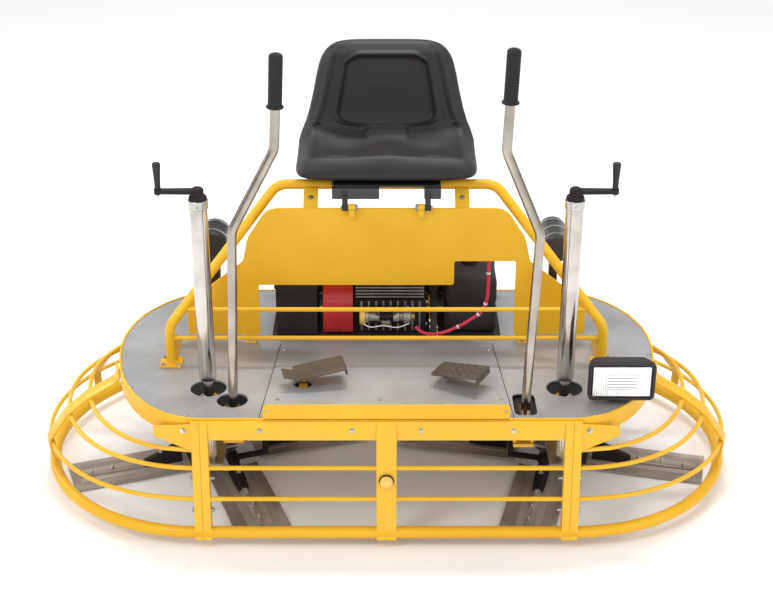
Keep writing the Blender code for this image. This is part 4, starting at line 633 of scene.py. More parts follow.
CABLE = Finish("red_cable_sheath", (0.700, 0.035, 0.090), (0.560, 0.022, 0.060), Grain.MOULDED, "red_cable",
               0.0, (0.35, 0.5))
CREAM = Finish("pale_knob", (0.840, 0.560, 0.130), (0.790, 0.500, 0.095), Grain.MOULDED, "knob_plastic",
               0.0, (0.30, 0.42), 0.2)
LENS = Finish("lamp_glass", (0.930, 0.945, 0.960), (0.800, 0.820, 0.850), Grain.CLEAR, "lens_glass",
              0.92, (0.05, 0.16), 0.6)
WHITE = Finish("nylon_white", (0.780, 0.780, 0.750), (0.680, 0.680, 0.640), Grain.MOULDED, "lens_glass",
               0.0, (0.4, 0.5))
BRASS = Finish("brass_fitting", (0.560, 0.480, 0.180), (0.400, 0.360, 0.130), Grain.POLISHED,
               "machined_steel",
               0.95, (0.2, 0.35))
FLOOR = Finish("studio_floor", (0.950, 0.950, 0.946), (0.942, 0.942, 0.938), Grain.SMOOTH, "",
               0.0, (0.75, 0.85), 0.0, None, 0.1)


# ---------------------------------------------------------------- pieces
class Piece:
    """One visible piece: closed surfaces in their finishes, riding on one body."""

    SHARP = math.radians(38)

    def __init__(self, name: str, body: str, main: Finish) -> None:
        """Args: name of the object, the body it rides on, and its main finish."""
        self.name, self.body, self.main = name, body, main
        self.parts: list[tuple[Surface, Finish]] = []

    def add(self, surfaces: Surface | Iterable[Surface], finish: Finish | None = None) -> "Piece":
        """Put one surface or several into the piece.

        Args:
            surfaces: one surface or several.
            finish: theirs, if not the main one.

        Returns:
            The piece itself.
        """
        if isinstance(surfaces, Surface):
            surfaces = [surfaces]
        self.parts += [(surface, finish or self.main) for surface in surfaces]
        return self

    def mesh(self) -> bpy.types.Mesh:
        """All surfaces as one mesh, with doubles merged and faces turned outwards."""
        counts = np.cumsum([0] + [len(surface.points) for surface, _ in self.parts])
        points = np.vstack([surface.points for surface, _ in self.parts])
        grain = np.vstack([s.points if s.grain is None else s.grain for s, _ in self.parts])
        faces = [[i + int(start) for i in face] for (s, _),
                 start in zip(self.parts, counts) for face in s.faces]
        finishes = list(dict.fromkeys([self.main] + [finish for _, finish in self.parts]))
        marks = np.concatenate([np.full(len(s.faces), finishes.index(f)) for s, f in self.parts])
        mesh = bpy.data.meshes.new(self.name)
        mesh.from_pydata(points.tolist(), [], faces)
        mesh.polygons.foreach_set("material_index", marks.astype(np.int32))
        attribute = mesh.attributes.new("grain", "FLOAT_VECTOR", "POINT")
        attribute.data.foreach_set("vector", grain.astype(np.float32).ravel())
        for finish in finishes:
            mesh.materials.append(finish.material())
        work = bmesh.new()
        work.from_mesh(mesh)
        bmesh.ops.remove_doubles(work, verts=work.verts, dist=1e-6)
        bmesh.ops.recalc_face_normals(work, faces=work.faces)
        work.to_mesh(mesh)
        work.free()
        mesh.shade_smooth()
        mesh.set_sharp_from_angle(angle=self.SHARP)
        return mesh

    def build(self, stands_for: Sequence[str] = (), bevel: float = 0.0) -> bpy.types.Object:
        """Make the object.

        Args:
            stands_for: CAD nodes that this piece hides.
            bevel: width of the rounding on its sharp edges.

        Returns:
            The finished object, riding on its body.
        """
        piece = bpy.data.objects.new(self.name, self.mesh())
        bpy.context.scene.collection.objects.link(piece)
        if bevel:
            rounding = piece.modifiers.new("edges", "BEVEL")
            rounding.width = bevel
            rounding.segments = 2
            rounding.limit_method = "ANGLE"
            rounding.angle_limit = self.SHARP
            rounding.harden_normals = True
        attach(piece, self.body)
        if stands_for:
            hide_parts(*stands_for)
        LOG.info("%s: %d surfaces on %s", self.name, len(self.parts), self.body)
        return piece


def dress(finish: Finish, *nodes: str) -> None:
    """Give CAD nodes that stay visible a finish."""
    for node in nodes:
        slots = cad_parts[node].data.materials
        slots.clear()
        slots.append(finish.material(cad=True))
        LOG.info("%s: %s", node, finish.name)


# ---------------------------------------------------------------- guard
@dataclass
class GuardCage:
    """The welded cage round the rotors: ring, rails, posts, struts, gussets and knob."""

    straight: float = 0.487
    centre: float = 0.49775
    ring_reach: float = 0.47325
    ring_depth: float = 0.484
    ring_z: float = 0.043
    ring_radius: float = 0.016
    rod_radius: float = 0.0063
    front_rails: tuple = (0.144, 0.233, 0.277)
    end_rails: tuple = ((0.130, 0.47825), (0.215, 0.41625), (0.265, 0.35325))
    rear_rails: tuple = ((0.130, 0.485), (0.215, 0.390), (0.265, 0.330))
    strut_angles: tuple = ((33.0, 0.015, 0.0), (-18.0, 0.024, 0.0095))

    @staticmethod
    def front_face(z: float) -> float:
        """Y of the leaning front face at a height."""
        return -0.5 + 0.037 * (z - 0.027) / 0.340

    def rail_depth(self, index: int) -> float:
        """How far forward a rail runs."""
        return 0.454 if index == 2 else -(self.front_face(self.front_rails[index]) + 0.0083)

    def rail(self, index: int, angle: Array) -> Array:
        """Points of one rail round the right end: an ellipse that climbs to the front by sin^2."""
        z, reach = self.end_rails[index]
        ahead = angle < 0
        depth = np.where(ahead, self.rail_depth(index), self.rear_rails[index][1])
        rise = np.where(ahead, (self.front_rails[index] - z) * np.sin(angle) ** 2, 0.0)
        return np.stack([self.centre + reach * np.cos(angle), depth * np.sin(angle), z + rise], -1)

    def ring(self) -> Array:
        """The closed path of the bottom tube: two half ellipses joined by straights."""
        angle = np.radians(np.linspace(-90, 90, 61))
        right = np.stack([self.centre + self.ring_reach * np.cos(angle), self.ring_depth * np.sin(angle),
                          np.full(61, self.ring_z)], -1)
        return np.vstack([right, right[::-1] * (-1, 1, 1)])

    def tubes(self) -> Piece:
        """The ring and its three rails."""
        piece = Piece("guard_rails", "chassis", YELLOW)
        piece.add(sweep(self.ring(), circle(20, self.ring_radius), closed=True))
        angle = np.radians(np.linspace(-90, 90, 49))
        for index in (0, 1):
            right = self.rail(index, angle)
            piece.add(sweep(np.vstack([right, right[::-1] * (-1, 1, 1)]), circle(10, self.rod_radius),
                            closed=True))
        right = np.vstack([[(0.4999, -0.453, 0.277)], self.rail(2, angle[4:])])
        piece.add(tube(np.vstack([right, right[::-1] * (-1, 1, 1)]), self.rod_radius, 10))
        for side in SIDES:
            for index in range(3):
                y, z = self.rear_rails[index][1], self.rear_rails[index][0]
                for edge in (0.4655, 0.5085):
                    piece.add(bead((side * edge, y, z), (1, 0, 0), self.rod_radius))
            for edge in (0.4655, 0.5085):
                piece.add(bead((side * edge, -self.ring_depth, self.ring_z), (1, 0, 0), self.ring_radius,
                               0.0028))
                piece.add(bead((side * edge, self.ring_depth, self.ring_z), (1, 0, 0), self.ring_radius,
                               0.0028))
                for index in (0, 1):
                    y = -self.rail_depth(index)
                    piece.add(bead((side * edge, y, self.front_rails[index]), (1, 0, 0), self.rod_radius))
        return piece

    def front_post(self, low: float, high: float) -> Surface:
        """A flat post with a leaning front face, between two X."""
        face = self.front_face
        outline = [(face(0.027), 0.027), (-0.463, 0.367), (-0.4543, 0.367), (-0.4543, 0.3155),
                   (-0.4483, 0.3095),
                   (-0.465, 0.027)]
        return prism(outline, low, high, "X")

    def rear_post(self, low: float, high: float) -> Surface:
        """A cranked post that follows the rear rails."""
        outer = [(0.5, 0.027)] + [(y + 0.012, z + 0.006) for z, y in self.rear_rails]
        inner = [(y - 0.022, z - 0.006) for z, y in reversed(self.rear_rails)]
        outline = outer + [(0.3623, 0.300), (0.3603, 0.367), (0.3523, 0.367), (0.3523, 0.3155)] + inner
        return prism(eased(outline + [(0.465, 0.027)], 0.012, 4), low, high, "X")

    def posts(self) -> Piece:
        """Posts in pairs at the four corners, singly in the middles, and the beams between them."""
        piece = Piece("guard_posts", "chassis", YELLOW)
        spans = [(-0.0265, 0.0265)]
        for side in SIDES:
            for inner, outer in ((0.4653, 0.48685), (0.48715, 0.5087)):
                spans.append(tuple(sorted((side * inner, side * outer))))
        for low, high in spans:
            piece.add([self.front_post(low, high), self.rear_post(low, high)])
        front = [(-0.4628, 0.367), (-0.4543, 0.367), (-0.4543, 0.3192), (-0.4243, 0.3192), (-0.4243, 0.3125),
                 (-0.4628, 0.3125)]
        rear = [(0.3603, 0.366), (0.3523, 0.366), (0.3523, 0.3192), (0.3243, 0.3192), (0.3243, 0.3125),
                (0.3603, 0.3125)]
        for low, high in ((-0.4654, -0.0264), (0.0264, 0.4654)):
            piece.add([prism(front, low, high, "X"), prism(rear, low, high, "X")])
        return piece

    def strut(self, side: int, degrees: float, half: float, proud: float) -> Surface:
        """A flat strut from the ring, over the rails by `proud`, up to the deck band.

        Args:
            side: -1 left, 1 right.
            degrees: place round the end.
            half: half of its width.
            proud: how far it stands off.

        Returns:
            The strut.
        """
        angle = math.radians(degrees)
        depth = 0.460 if angle < 0 else 0.358
        feet = [(self.centre + self.ring_reach * math.cos(angle), self.ring_depth * math.sin(angle),
                 self.ring_z)]
        out = proud * np.array((math.cos(angle), math.sin(angle), 0.5))
        feet += [self.rail(index, np.array(angle)) + out for index in range(3)]
        rim = (0.480 + 0.2835 * math.cos(angle), (depth - 0.0005) * math.sin(angle))
        feet += [(*rim, 0.3275), (*rim, 0.3665)]
        path = bent(feet, 0.03, 5) * (side, 1, 1)
        section = eased([(-0.0032, -half), (0.0032, -half), (0.0032, half), (-0.0032, half)], 0.0012, 3)
        along = (-side * math.sin(angle), math.cos(angle), 0)
        return sweep(path, section, along)

    def gusset(self, side: int) -> Surface:
        """A tapered plate that follows the deck's corner outwards from the post."""
        heading = math.radians(17.0)
        inner = np.array([self.straight + 0.004, -0.4610])
        outer = inner + 0.125 * np.array([math.cos(heading), math.sin(heading)])
        across = 0.006 * np.array([math.sin(heading), -math.cos(heading)])
        corners = [(inner, 0.2745), (inner, 0.363), (outer, 0.337), (outer, 0.3075)]
        near = np.array([(side * p[0], p[1], z) for p, z in corners])
        far = np.array([(side * (p + across)[0], (p + across)[1], z) for p, z in corners])
        return grid(np.stack([near, far]))

    def plates(self) -> Piece:
        """Struts and gussets."""
        piece = Piece("guard_struts", "chassis", YELLOW)
        for side in SIDES:
            piece.add(self.gusset(side))
            piece.add([self.strut(side, *strut) for strut in self.strut_angles])
        return piece

    def fasteners(self) -> Piece:
        """Through bolts of the corner posts and gussets."""
        piece = Piece("guard_bolts", "chassis", ZINC)
        for side in SIDES:
            for z in (0.200, 0.108):
                y = self.front_face(z) + 0.016
                piece.add(hex_bolt((side * 0.5087, y, z), (side, 0, 0), 0.0066))
                piece.add(stud((side * 0.4653, y, z), (-side, 0, 0), 0.0066))
                piece.add(hex_bolt((side * 0.5087, 0.478 if z < 0.15 else 0.396, z), (side, 0, 0), 0.0066))
                piece.add(stud((side * 0.4653, 0.478 if z < 0.15 else 0.396, z), (-side, 0, 0), 0.0066))
            heading = math.radians(17.0)
            piece.add(hex_bolt((side * 0.5295, -0.4568, 0.338),
                               (side * math.sin(heading), -math.cos(heading), 0), 0.0060))
            for x in (0.090, 0.330):
                piece.add(stud((side * x, -0.436, 0.3125), (0, 0, -1), 0.0062))
                piece.add(hex_bolt((side * x, -0.4628, 0.342), (0, -1, 0), 0.0052))
                piece.add(hex_bolt((side * x, 0.3603, 0.342), (0, 1, 0), 0.0052))
        return piece

    def knob(self) -> Piece:
        """The pale bumper knob on its black base."""
        piece = Piece("bumper_knob_shell", "chassis", CREAM)
        back = self.front_face(0.200) - 0.0002
        cap = [(0, 0.0172), (0.006, 0.0172), (0.0125, 0.0160), (0.0165, 0.0125), (0.0178, 0.0090),
               (0.0172, 0.0055),
               (0.0150, 0.0042), (0, 0.0042)]
        base = [(0, 0), (0.0185, 0), (0.0200, 0.0012), (0.0200, 0.0034), (0.0185, 0.0046), (0, 0.0046)]
        piece.add(lathe(cap, (0, back, 0.201), (0, -1, 0), 32))
        piece.add(lathe(base, (0, back, 0.201), (0, -1, 0), 32), PLASTIC)
        return piece

    def build(self) -> None:
        """Build the whole cage."""
        self.tubes().build(("guard_left_end", "guard_right_end"))
        self.posts().build(("guard_front", "guard_rear"), bevel=0.0012)
        self.plates().build(bevel=0.0008)
        self.fasteners().build()
        self.knob().build(("bumper_knob",))


# ---------------------------------------------------------------- deck
@dataclass
class Deck:
    """The plated deck: its band, cross members, toe board, hole rims and screws."""

    centre: float = 0.480
    end: float = 0.278
    front: float = 0.454
    rear: float = 0.352
    low: float = 0.3195
    high: float = 0.3725
    thickness: float = 0.006
    top: float = 0.370
    bar_half: float = 0.015
    lug_x: float = 0.485
    bar_front: float = -0.140
    pivot_z: float = LEVER_PIVOT_Z
    pedal_at: Point = (*PEDAL_POSTS[-1], PEDAL_PIVOT_Z)
    pedal_heading: float = PEDAL_HEADINGS[-1]

    def outline(self, inset: float, steps: int = 61) -> Array:
        """The deck's edge: half an ellipse at each end, fuller to the front, joined by straights."""
        angle = np.radians(np.linspace(-90, 90, steps))
        depth = np.where(angle < 0, self.front, self.rear) - inset
        right = np.stack([self.centre + (self.end - inset) * np.cos(angle), depth * np.sin(angle)], -1)
        return np.vstack([right, right[::-1] * (-1, 1)])

    def band(self) -> Piece:
        """The yellow band round the plate, with its welded cross members, lugs and brackets."""
        piece = Piece("deck_band", "chassis", YELLOW)
        middle = self.outline(self.thickness / 2)
        path = np.column_stack([middle, np.full(len(middle), (self.low + self.high) / 2)])
        section = plate(self.thickness, self.high - self.low, 0.0016, 4)
        piece.add(sweep(path, section, closed=True))
        high = self.top - 0.0043
        low = high - 0.030
        for y, reach in ((-0.14, 0.735), (0.23, 0.688)):
            piece.add(self.channel((-reach, y), (reach, y), low, high))
        for x in (-self.lug_x, self.lug_x, -0.36, 0.36):
            piece.add(self.channel((x, -0.14), (x, 0.23), low, high - 0.002))
        for side in SIDES:
            for facing in SIDES:
                inner, outer = sorted((facing * 0.106, facing * 0.120))
                lug = eased([(self.lug_x - 0.030, 0.358), (self.lug_x - 0.030, 0.196),
                             (self.lug_x - 0.014, 0.170),
                             (self.lug_x + 0.014, 0.170), (self.lug_x + 0.030, 0.196),
                             (self.lug_x + 0.030, 0.358)],
                            0.010, 5)
                piece.add(prism(lug * (side, 1), inner, outer, "Y"))
        for x in (self.pedal_at[0], -self.pedal_at[0]):
            piece.add(block((x - 0.012, -0.450, low + 0.004), (x + 0.012, self.bar_front, high - 0.004)))
        piece.add(self.pedal_post(high - 0.008))
        for x, y in LEVER_ROOTS.values():
            piece.add(self.bracket(x, y, low + 0.006))
        toe = eased([(-0.320, 0.3685), (-0.320, 0.406), (-0.313, 0.413), (0.313, 0.413), (0.320, 0.406),
                     (0.320, 0.3685)], 0.004, 4)
        piece.add(prism(toe, -0.4540, -0.4498, "Y"))
        return piece

    def pedal_post(self, low: float) -> list[Surface]:
        """The round post that rises through the deck, with the eye and pin of the left pedal."""
        x, y, pivot = self.pedal_at
        post = tube([(x, y, low), (x, y, pivot - 0.008)], 0.010)
        eye = tube([(x, y - 0.005, pivot), (x, y + 0.005, pivot)], 0.008)
        neck = block((x - 0.006, y - 0.005, pivot - 0.012), (x + 0.006, y + 0.005, pivot))
        pin = tube([(x, y - 0.020, pivot), (x, y + 0.020, pivot)], 0.0035)
        return [post] + [part.turned(self.pedal_heading, "Z", (x, y, 0)) for part in (eye, neck, pin)]

    def bracket(self, x: float, y: float, high: float) -> list[Surface]:
        """The shelf and hanger under the deck, with two bored ears for a lever's pivot pin.

        Args:
            x: the pin's middle.
            y: the pin's middle.
            high: top of the hanger.

        Returns:
            The parts of the bracket.
        """
        parts = [block((x - 0.027, y - 0.020, self.pivot_z - 0.040),
                       (x + 0.027, self.bar_front, self.pivot_z - 0.030)),
                 block((x - 0.012, self.bar_front - 0.014, self.pivot_z - 0.036),
                       (x + 0.012, self.bar_front + 0.010, high))]
        for side in SIDES:
            middle = x + side * 0.023
            parts.append(block((middle - 0.004, y - 0.014, self.pivot_z - 0.035),
                               (middle + 0.004, y + 0.014, self.pivot_z - 0.0085)))
            ring = [(0.0070, -0.004), (0.0140, -0.004), (0.0140, 0.004), (0.0070, 0.004)]
            parts.append(lathe(ring, (middle, y, self.pivot_z), (1, 0, 0), 32, closed=True))
        return parts

    def channel(self, start: Point, end: Point, low: float, high: float) -> Surface:
        """An upturned channel between two points of the plan.

        Args:
            start: one end in plan.
            end: the other.
            low: its bottom.
            high: its top.

        Returns:
            The channel.
        """
        half, wall, depth = self.bar_half, 0.004, high - low
        section = np.array([(-half, -depth / 2), (half, -depth / 2), (half, depth / 2),
                            (half - wall, depth / 2),
                            (half - wall, -depth / 2 + wall), (-half + wall, -depth / 2 + wall),
                            (-half + wall, depth / 2), (-half, depth / 2)]) * (1, -1)
        middle = (low + high) / 2
        return sweep(np.array([(*start, middle), (*end, middle)]), section)

    def fittings(self) -> Piece:
        """Screws on the plate and cover, turned hole rims, and the bolts under the lugs."""
        piece = Piece("deck_screws", "chassis", ZINC)
        for x, y in ((-0.5225, -0.433), (0.541, -0.430), (-0.690, -0.280), (0.690, -0.280), (-0.739, -0.091),
                     (0.739, -0.091), (-0.721, 0.108), (0.721, 0.108), (-0.600, 0.290), (0.600, 0.290)):
            piece.add(screw((x, y, self.top + 0.0003), (0, 0, 1), 0.0055))
        for x, y in ((-0.29, -0.355), (-0.017, -0.355), (0.306, -0.355), (-0.29, -0.06), (0.29, -0.06)):
            piece.add(screw((x, y, self.top + 0.0035), (0, 0, 1), 0.0055))
        for side in SIDES:
            for facing in SIDES:
                piece.add(hex_bolt((side * self.lug_x, facing * 0.1202, 0.2), (0, facing, 0), 0.009))
            piece.add(screw((side * 0.309, -0.4542, 0.395), (0, -1, 0), 0.0040))
        return piece

    def rims(self) -> Piece:
        """Thin turned rims round the holes for the crank posts, the lever and the pedal."""
        piece = Piece("deck_hole_rims", "chassis", DECK)
        holes = [(*at, 0.050) for at in CRANK_POSTS]
        holes += [(*LEVER_ROOTS[-1], 0.0425), (*PEDAL_POSTS[-1], 0.0265)]
        for x, y, radius in holes:
            ring = [(radius - 0.0012, -0.0048), (radius + 0.0002, -0.0048), (radius + 0.0012, 0.0003),
                    (radius + 0.0004, 0.0010), (radius - 0.0008, 0.0006)]
            piece.add(lathe(ring, (x, y, self.top), (0, 0, 1), 56, closed=True))
        return piece

    def boots(self) -> Piece:
        """Black rubber dishes under the holes, and seals along the cover's edges."""
        piece = Piece("deck_boots", "chassis", RUBBER)
        dishes = [(*at, 0.054, 0.026) for at in CRANK_POSTS]
        dishes += [(*LEVER_ROOTS[-1], 0.046, 0.028), (*PEDAL_POSTS[-1], 0.030, 0.0095)]
        for x, y, outer, inner in dishes:
            dish = [(inner, -0.026), (inner + 0.004, -0.0285), (outer - 0.004, -0.010), (outer, -0.0045),
                    (outer - 0.003, -0.0045), (inner + 0.004, -0.0230), (inner, -0.0225)]
            piece.add(lathe(dish, (x, y, self.top), (0, 0, 1), 48, closed=True))
        path = np.column_stack([plate(0.078, 0.124, 0.030) + LEVER_ROOTS[1], np.full(24, self.top - 0.016)])
        piece.add(sweep(path, plate(0.048, 0.003, 0.001, 3), closed=True))
        for side in SIDES:
            edge = np.array([(side * 0.3312, -0.4470, self.top + 0.0012),
                             (side * 0.3012, -0.0200, self.top + 0.0012)])
            piece.add(sweep(edge, plate(0.0022, 0.0030, 0.0004, 3)))
        piece.add(sweep(np.array([(-0.300, -0.0188, self.top + 0.0012), (0.300, -0.0188, self.top + 0.0012)]),
                        plate(0.0022, 0.0030, 0.0004, 3)))
        return piece

    def tray(self) -> Piece:
        """The black tray and rear screen of the engine bay, slotted for the belt."""
        piece = Piece("engine_tray", "chassis", BLACK)
        for low, high in ((-0.3440, 0.1270), (0.1490, 0.3440)):
            piece.add(block((low, 0.0100, 0.3640), (high, 0.3400, 0.3656)))
        screen = eased([(-0.330, 0.3705), (-0.330, 0.520), (-0.300, 0.560), (0.300, 0.560), (0.330, 0.520),
                        (0.330, 0.3705)], 0.02, 5)
        piece.add(prism(screen, 0.3320, 0.3340, "Y"))
        for z in np.linspace(0.400, 0.530, 9):
            piece.add(block((-0.290, 0.3300, z), (0.290, 0.3322, z + 0.0050)))
        return piece

    def build(self) -> None:
        """Build the band, fittings and rims, and finish the plates that stay."""
        self.boots().build()
        self.tray().build(bevel=0.0008)
        self.band().build(("main_frame",), bevel=0.0009)
        self.fittings().build()
        self.rims().build()
        dress(DECK, "deck_floor", "deck_cover")


# ---------------------------------------------------------------- front panel and arch
@dataclass
class FrontPanel:
    """The upright panel ahead of the engine, with its hinge knuckles and tabs."""

    depth: float = 0.006
    hinge_y: float = -0.010
    hinge_z: float = 0.786

    def outline(self) -> Array:
        """The panel seen from the front, with the engine opening in its lower edge."""
        right = [(0.566, 0.392), (0.566, 0.500), (0.516, 0.530), (0.402, 0.620), (0.390, 0.679),
                 (0.384, 0.695),
                 (0.340, 0.763), (0.322, 0.775), (0.300, 0.779)]
        left = [(-x, z) for x, z in reversed(right)]
        opening = [(-0.361, 0.392), (-0.361, 0.547), (0.190, 0.547), (0.190, 0.620), (0.363, 0.620),
                   (0.363, 0.392)]
        return eased(right + left + opening, 0.008, 5)

    def sheet(self) -> Piece:
        """The folded sheet, its legs, knuckles and tabs."""
        piece = Piece("front_panel_sheet", "chassis", YELLOW)
        piece.add(prism(self.outline(), 0.0, self.depth, "Y"))
        for side in SIDES:
            piece.add(block((min(side * 0.373, side * 0.403), 0.0012, 0.3704),
                            (max(side * 0.373, side * 0.403), 0.0050, 0.4200)))
            foot = sorted((side * 0.373, side * 0.403))
            piece.add(block((foot[0], -0.016, 0.3704), (foot[1], 0.0045, 0.3744)))
            start = side * 0.0867
            end = side * 0.1047
            ring = [(0.0041, 0), (0.0092, 0), (0.0100, 0.0008), (0.0100, 0.0172), (0.0092, 0.018),
                    (0.0041, 0.018)]
            piece.add(lathe(ring, (min(start, end), self.hinge_y, self.hinge_z), (1, 0, 0), 28, closed=True))
            stay = [(self.hinge_y - 0.004, 0.758), (0.003, 0.758), (0.003, 0.777),
                    (self.hinge_y + 0.006, 0.7795),
                    (self.hinge_y - 0.006, 0.7795)]
            piece.add(prism(stay, min(start, end) + 0.001, max(start, end) - 0.001, "X"))
            tab = [(0.0012, 0.767), (0.0012, 0.773), (0.0625, 0.8160), (0.0657, 0.8118), (0.0045, 0.7665)]
            low, high = sorted((side * 0.190, side * 0.230))
            piece.add(prism(tab, low, high, "X"))
        return piece

    def pins(self) -> Piece:
        """Hinge bolts with silver nuts towards the middle, and the leg bolts."""
        piece = Piece("panel_bolts", "chassis", ZINC)
        for side in SIDES:
            centre = (side * 0.0862, self.hinge_y, self.hinge_z)
            piece.add(hex_bolt(centre, (-side, 0, 0), 0.0078))
            piece.add(lathe([(0, -0.002), (0.0038, -0.002), (0.0038, 0.041), (0, 0.041)], centre,
                            (side, 0, 0), 16))
            piece.add(hex_bolt((side * 0.388, -0.008, 0.3744), (0, 0, 1), 0.0055))
            piece.add(hex_bolt((side * 0.210, 0.036, 0.7975), (0, -0.57, 0.82), 0.0052))
        return piece

    def build(self) -> None:
        """Build the panel and its bolts."""
        self.sheet().build(("front_panel",), bevel=0.0014)
        self.pins().build()


@dataclass
class Arch:
    """The tube arch over the engine, with feet, gussets and cross rods."""

    radius: float = 0.014
    rod: float = 0.0063
    foot: Point = (0.598, -0.138, 0.3723)
    knee: Point = (0.598, -0.138, 0.485)
    top: Point = (0.305, 0.081, 0.820)

    def frame(self) -> Piece:
        """One bent tube from foot to foot, with its plates and rods."""
        piece = Piece("arch_tube", "chassis", YELLOW)
        foot, knee, top = (np.array(p) for p in (self.foot, self.knee, self.top))
        mirror = np.array((-1, 1, 1))
        path = bent([foot, knee, top, top * mirror, knee * mirror, foot * mirror], 0.06, 12)
        piece.add(sweep(path, circle(24, self.radius), (0, 1, 0.02)))
        for side in SIDES:
            turn = np.array((side, 1, 1))
            corner = eased([(-0.030, -0.030), (0.030, -0.030), (0.030, 0.030), (-0.030, 0.030)], 0.006, 4)
            piece.add(prism(corner + foot[:2] * (side, 1), 0.3703, 0.3763))
            piece.add(bead(foot * turn + (0, 0, 0.0045), (0, 0, 1), self.radius, 0.003))
            web = eased([(-0.134, 0.3764), (-0.012, 0.3764), (-0.018, 0.390), (-0.118, 0.452),
                         (-0.134, 0.455)],
                        0.008, 4)
            low, high = sorted((side * 0.583, side * 0.589))
            piece.add(prism(web, low, high, "X"))
            for z, x, y in ((0.449, 0.598, -0.138), (0.524, 0.564, -0.1125)):
                piece.add(bead((side * (x - 0.013), y, z), (1, 0, 0), self.rod, 0.002))
        for z, x, y in ((0.449, 0.598, -0.138), (0.524, 0.564, -0.1125)):
            piece.add(tube([(-x, y, z), (0, y, z), (x, y, z)], self.rod, 14))
        return piece

    def bolts(self) -> Piece:
        """Four bolts in each foot."""
        piece = Piece("arch_bolts", "chassis", ZINC)
        for side in SIDES:
            for dx, dy in ((-0.021, -0.021), (0.021, -0.021), (0.021, 0.021)):
                piece.add(hex_bolt((side * (self.foot[0] + dx), self.foot[1] + dy, 0.3763), (0, 0, 1),
                                   0.0050))
        return piece

    def build(self) -> None:
        """Build the arch and its bolts."""
        self.frame().build(("arch_frame",), bevel=0.0008)
        self.bolts().build()


# ---------------------------------------------------------------- levers and cranks
@dataclass
class SteeringLever:
    """A bent polished lever with a ribbed grip."""

    side: int
    root: Point
    knee: float
    neck: float
    top: Point
    radius: float = 0.0125

    @property
    def label(self) -> str:
        """left or right."""
        return SIDES[self.side]

    def path(self) -> Array:
        """Up from the root, inwards at the knee, and up again at the neck."""
        x, y = self.root
        return bent([(x, y, 0.302), (self.knee, y, 0.855), (self.neck, y, 1.073),
                     (self.top[0], y, self.top[1])],
                    0.075, 12)

    def rod(self) -> Piece:
        """The lever and its root."""
        # The lever tube takes the darker copy of the polished steel, whose lower tone is painted shade for
        # its dark reflections.
        piece = Piece(f"lever_{self.label}_tube", f"lever_{self.label}", SHADED_LEVER_STEEL)
        x, y = self.root
        piece.add(sweep(self.path(), circle(28, self.radius), (0, 1, 0)))
        if self.side < 0:
            piece.add(block((x - 0.008, y - 0.008, 0.282), (x + 0.008, y + 0.008, 0.306)), ZINC)
            piece.add(lathe([(0, 0), (0.0043, 0), (0.0043, 0.029), (0, 0.029)], (x, y - 0.0145, 0.290),
                            (0, 1, 0), 20),
                      ZINC)
        else:
            piece.add(block((x - 0.016, y - 0.012, 0.278), (x + 0.016, y + 0.012, 0.306)), ZINC)
            piece.add(lathe([(0, 0), (0.0048, 0), (0.0048, 0.056), (0, 0.056)], (x - 0.028, y, 0.290),
                            (1, 0, 0), 20),
                      ZINC)
        piece.add(lathe([(self.radius - 0.001, 0), (0.0165, 0), (0.0172, 0.001), (0.0172, 0.011),
                         (0.0165, 0.012),
                         (self.radius - 0.001, 0.012)], (x, y, 0.308), (0, 0, 1), 24, closed=True), ZINC)
        return piece

    def grip(self) -> Piece:
        """A rubber grip: a flange, shallow rings along the body, and a domed end."""
        piece = Piece(f"lever_{self.label}_grip", f"lever_{self.label}", RUBBER)
        x, z = self.top
        along = unit(np.array((x - self.neck, 0.0, z - 1.073)))
        height = np.linspace(-0.112, 0.000, 150)
        body = 0.0176 - 0.0011 * (0.5 + 0.5 * np.cos(2 * math.pi * height / 0.0075)) ** 3
        flange = [(self.radius + 0.0005, -0.1228), (0.0205, -0.1228), (0.0218, -0.1216), (0.0218, -0.1190),
                  (0.0200, -0.1172), (0.0183, -0.1145)]
        cap = [(0.0176, 0.003), (0.0168, 0.0075), (0.0140, 0.0110), (0.0090, 0.0132), (0, 0.0140)]
        hidden = [(0, -0.001), (self.radius + 0.0005, -0.001)]
        profile = flange + list(zip(body, height)) + cap + hidden
        piece.add(lathe(profile, (x, self.root[1], z), along, 40, closed=True))
        return piece

    def build(self) -> None:
        """Build the lever and grip."""
        self.rod().build((f"lever_{self.label}",), bevel=0.0008)
        self.grip().build((f"grip_{self.label}",))


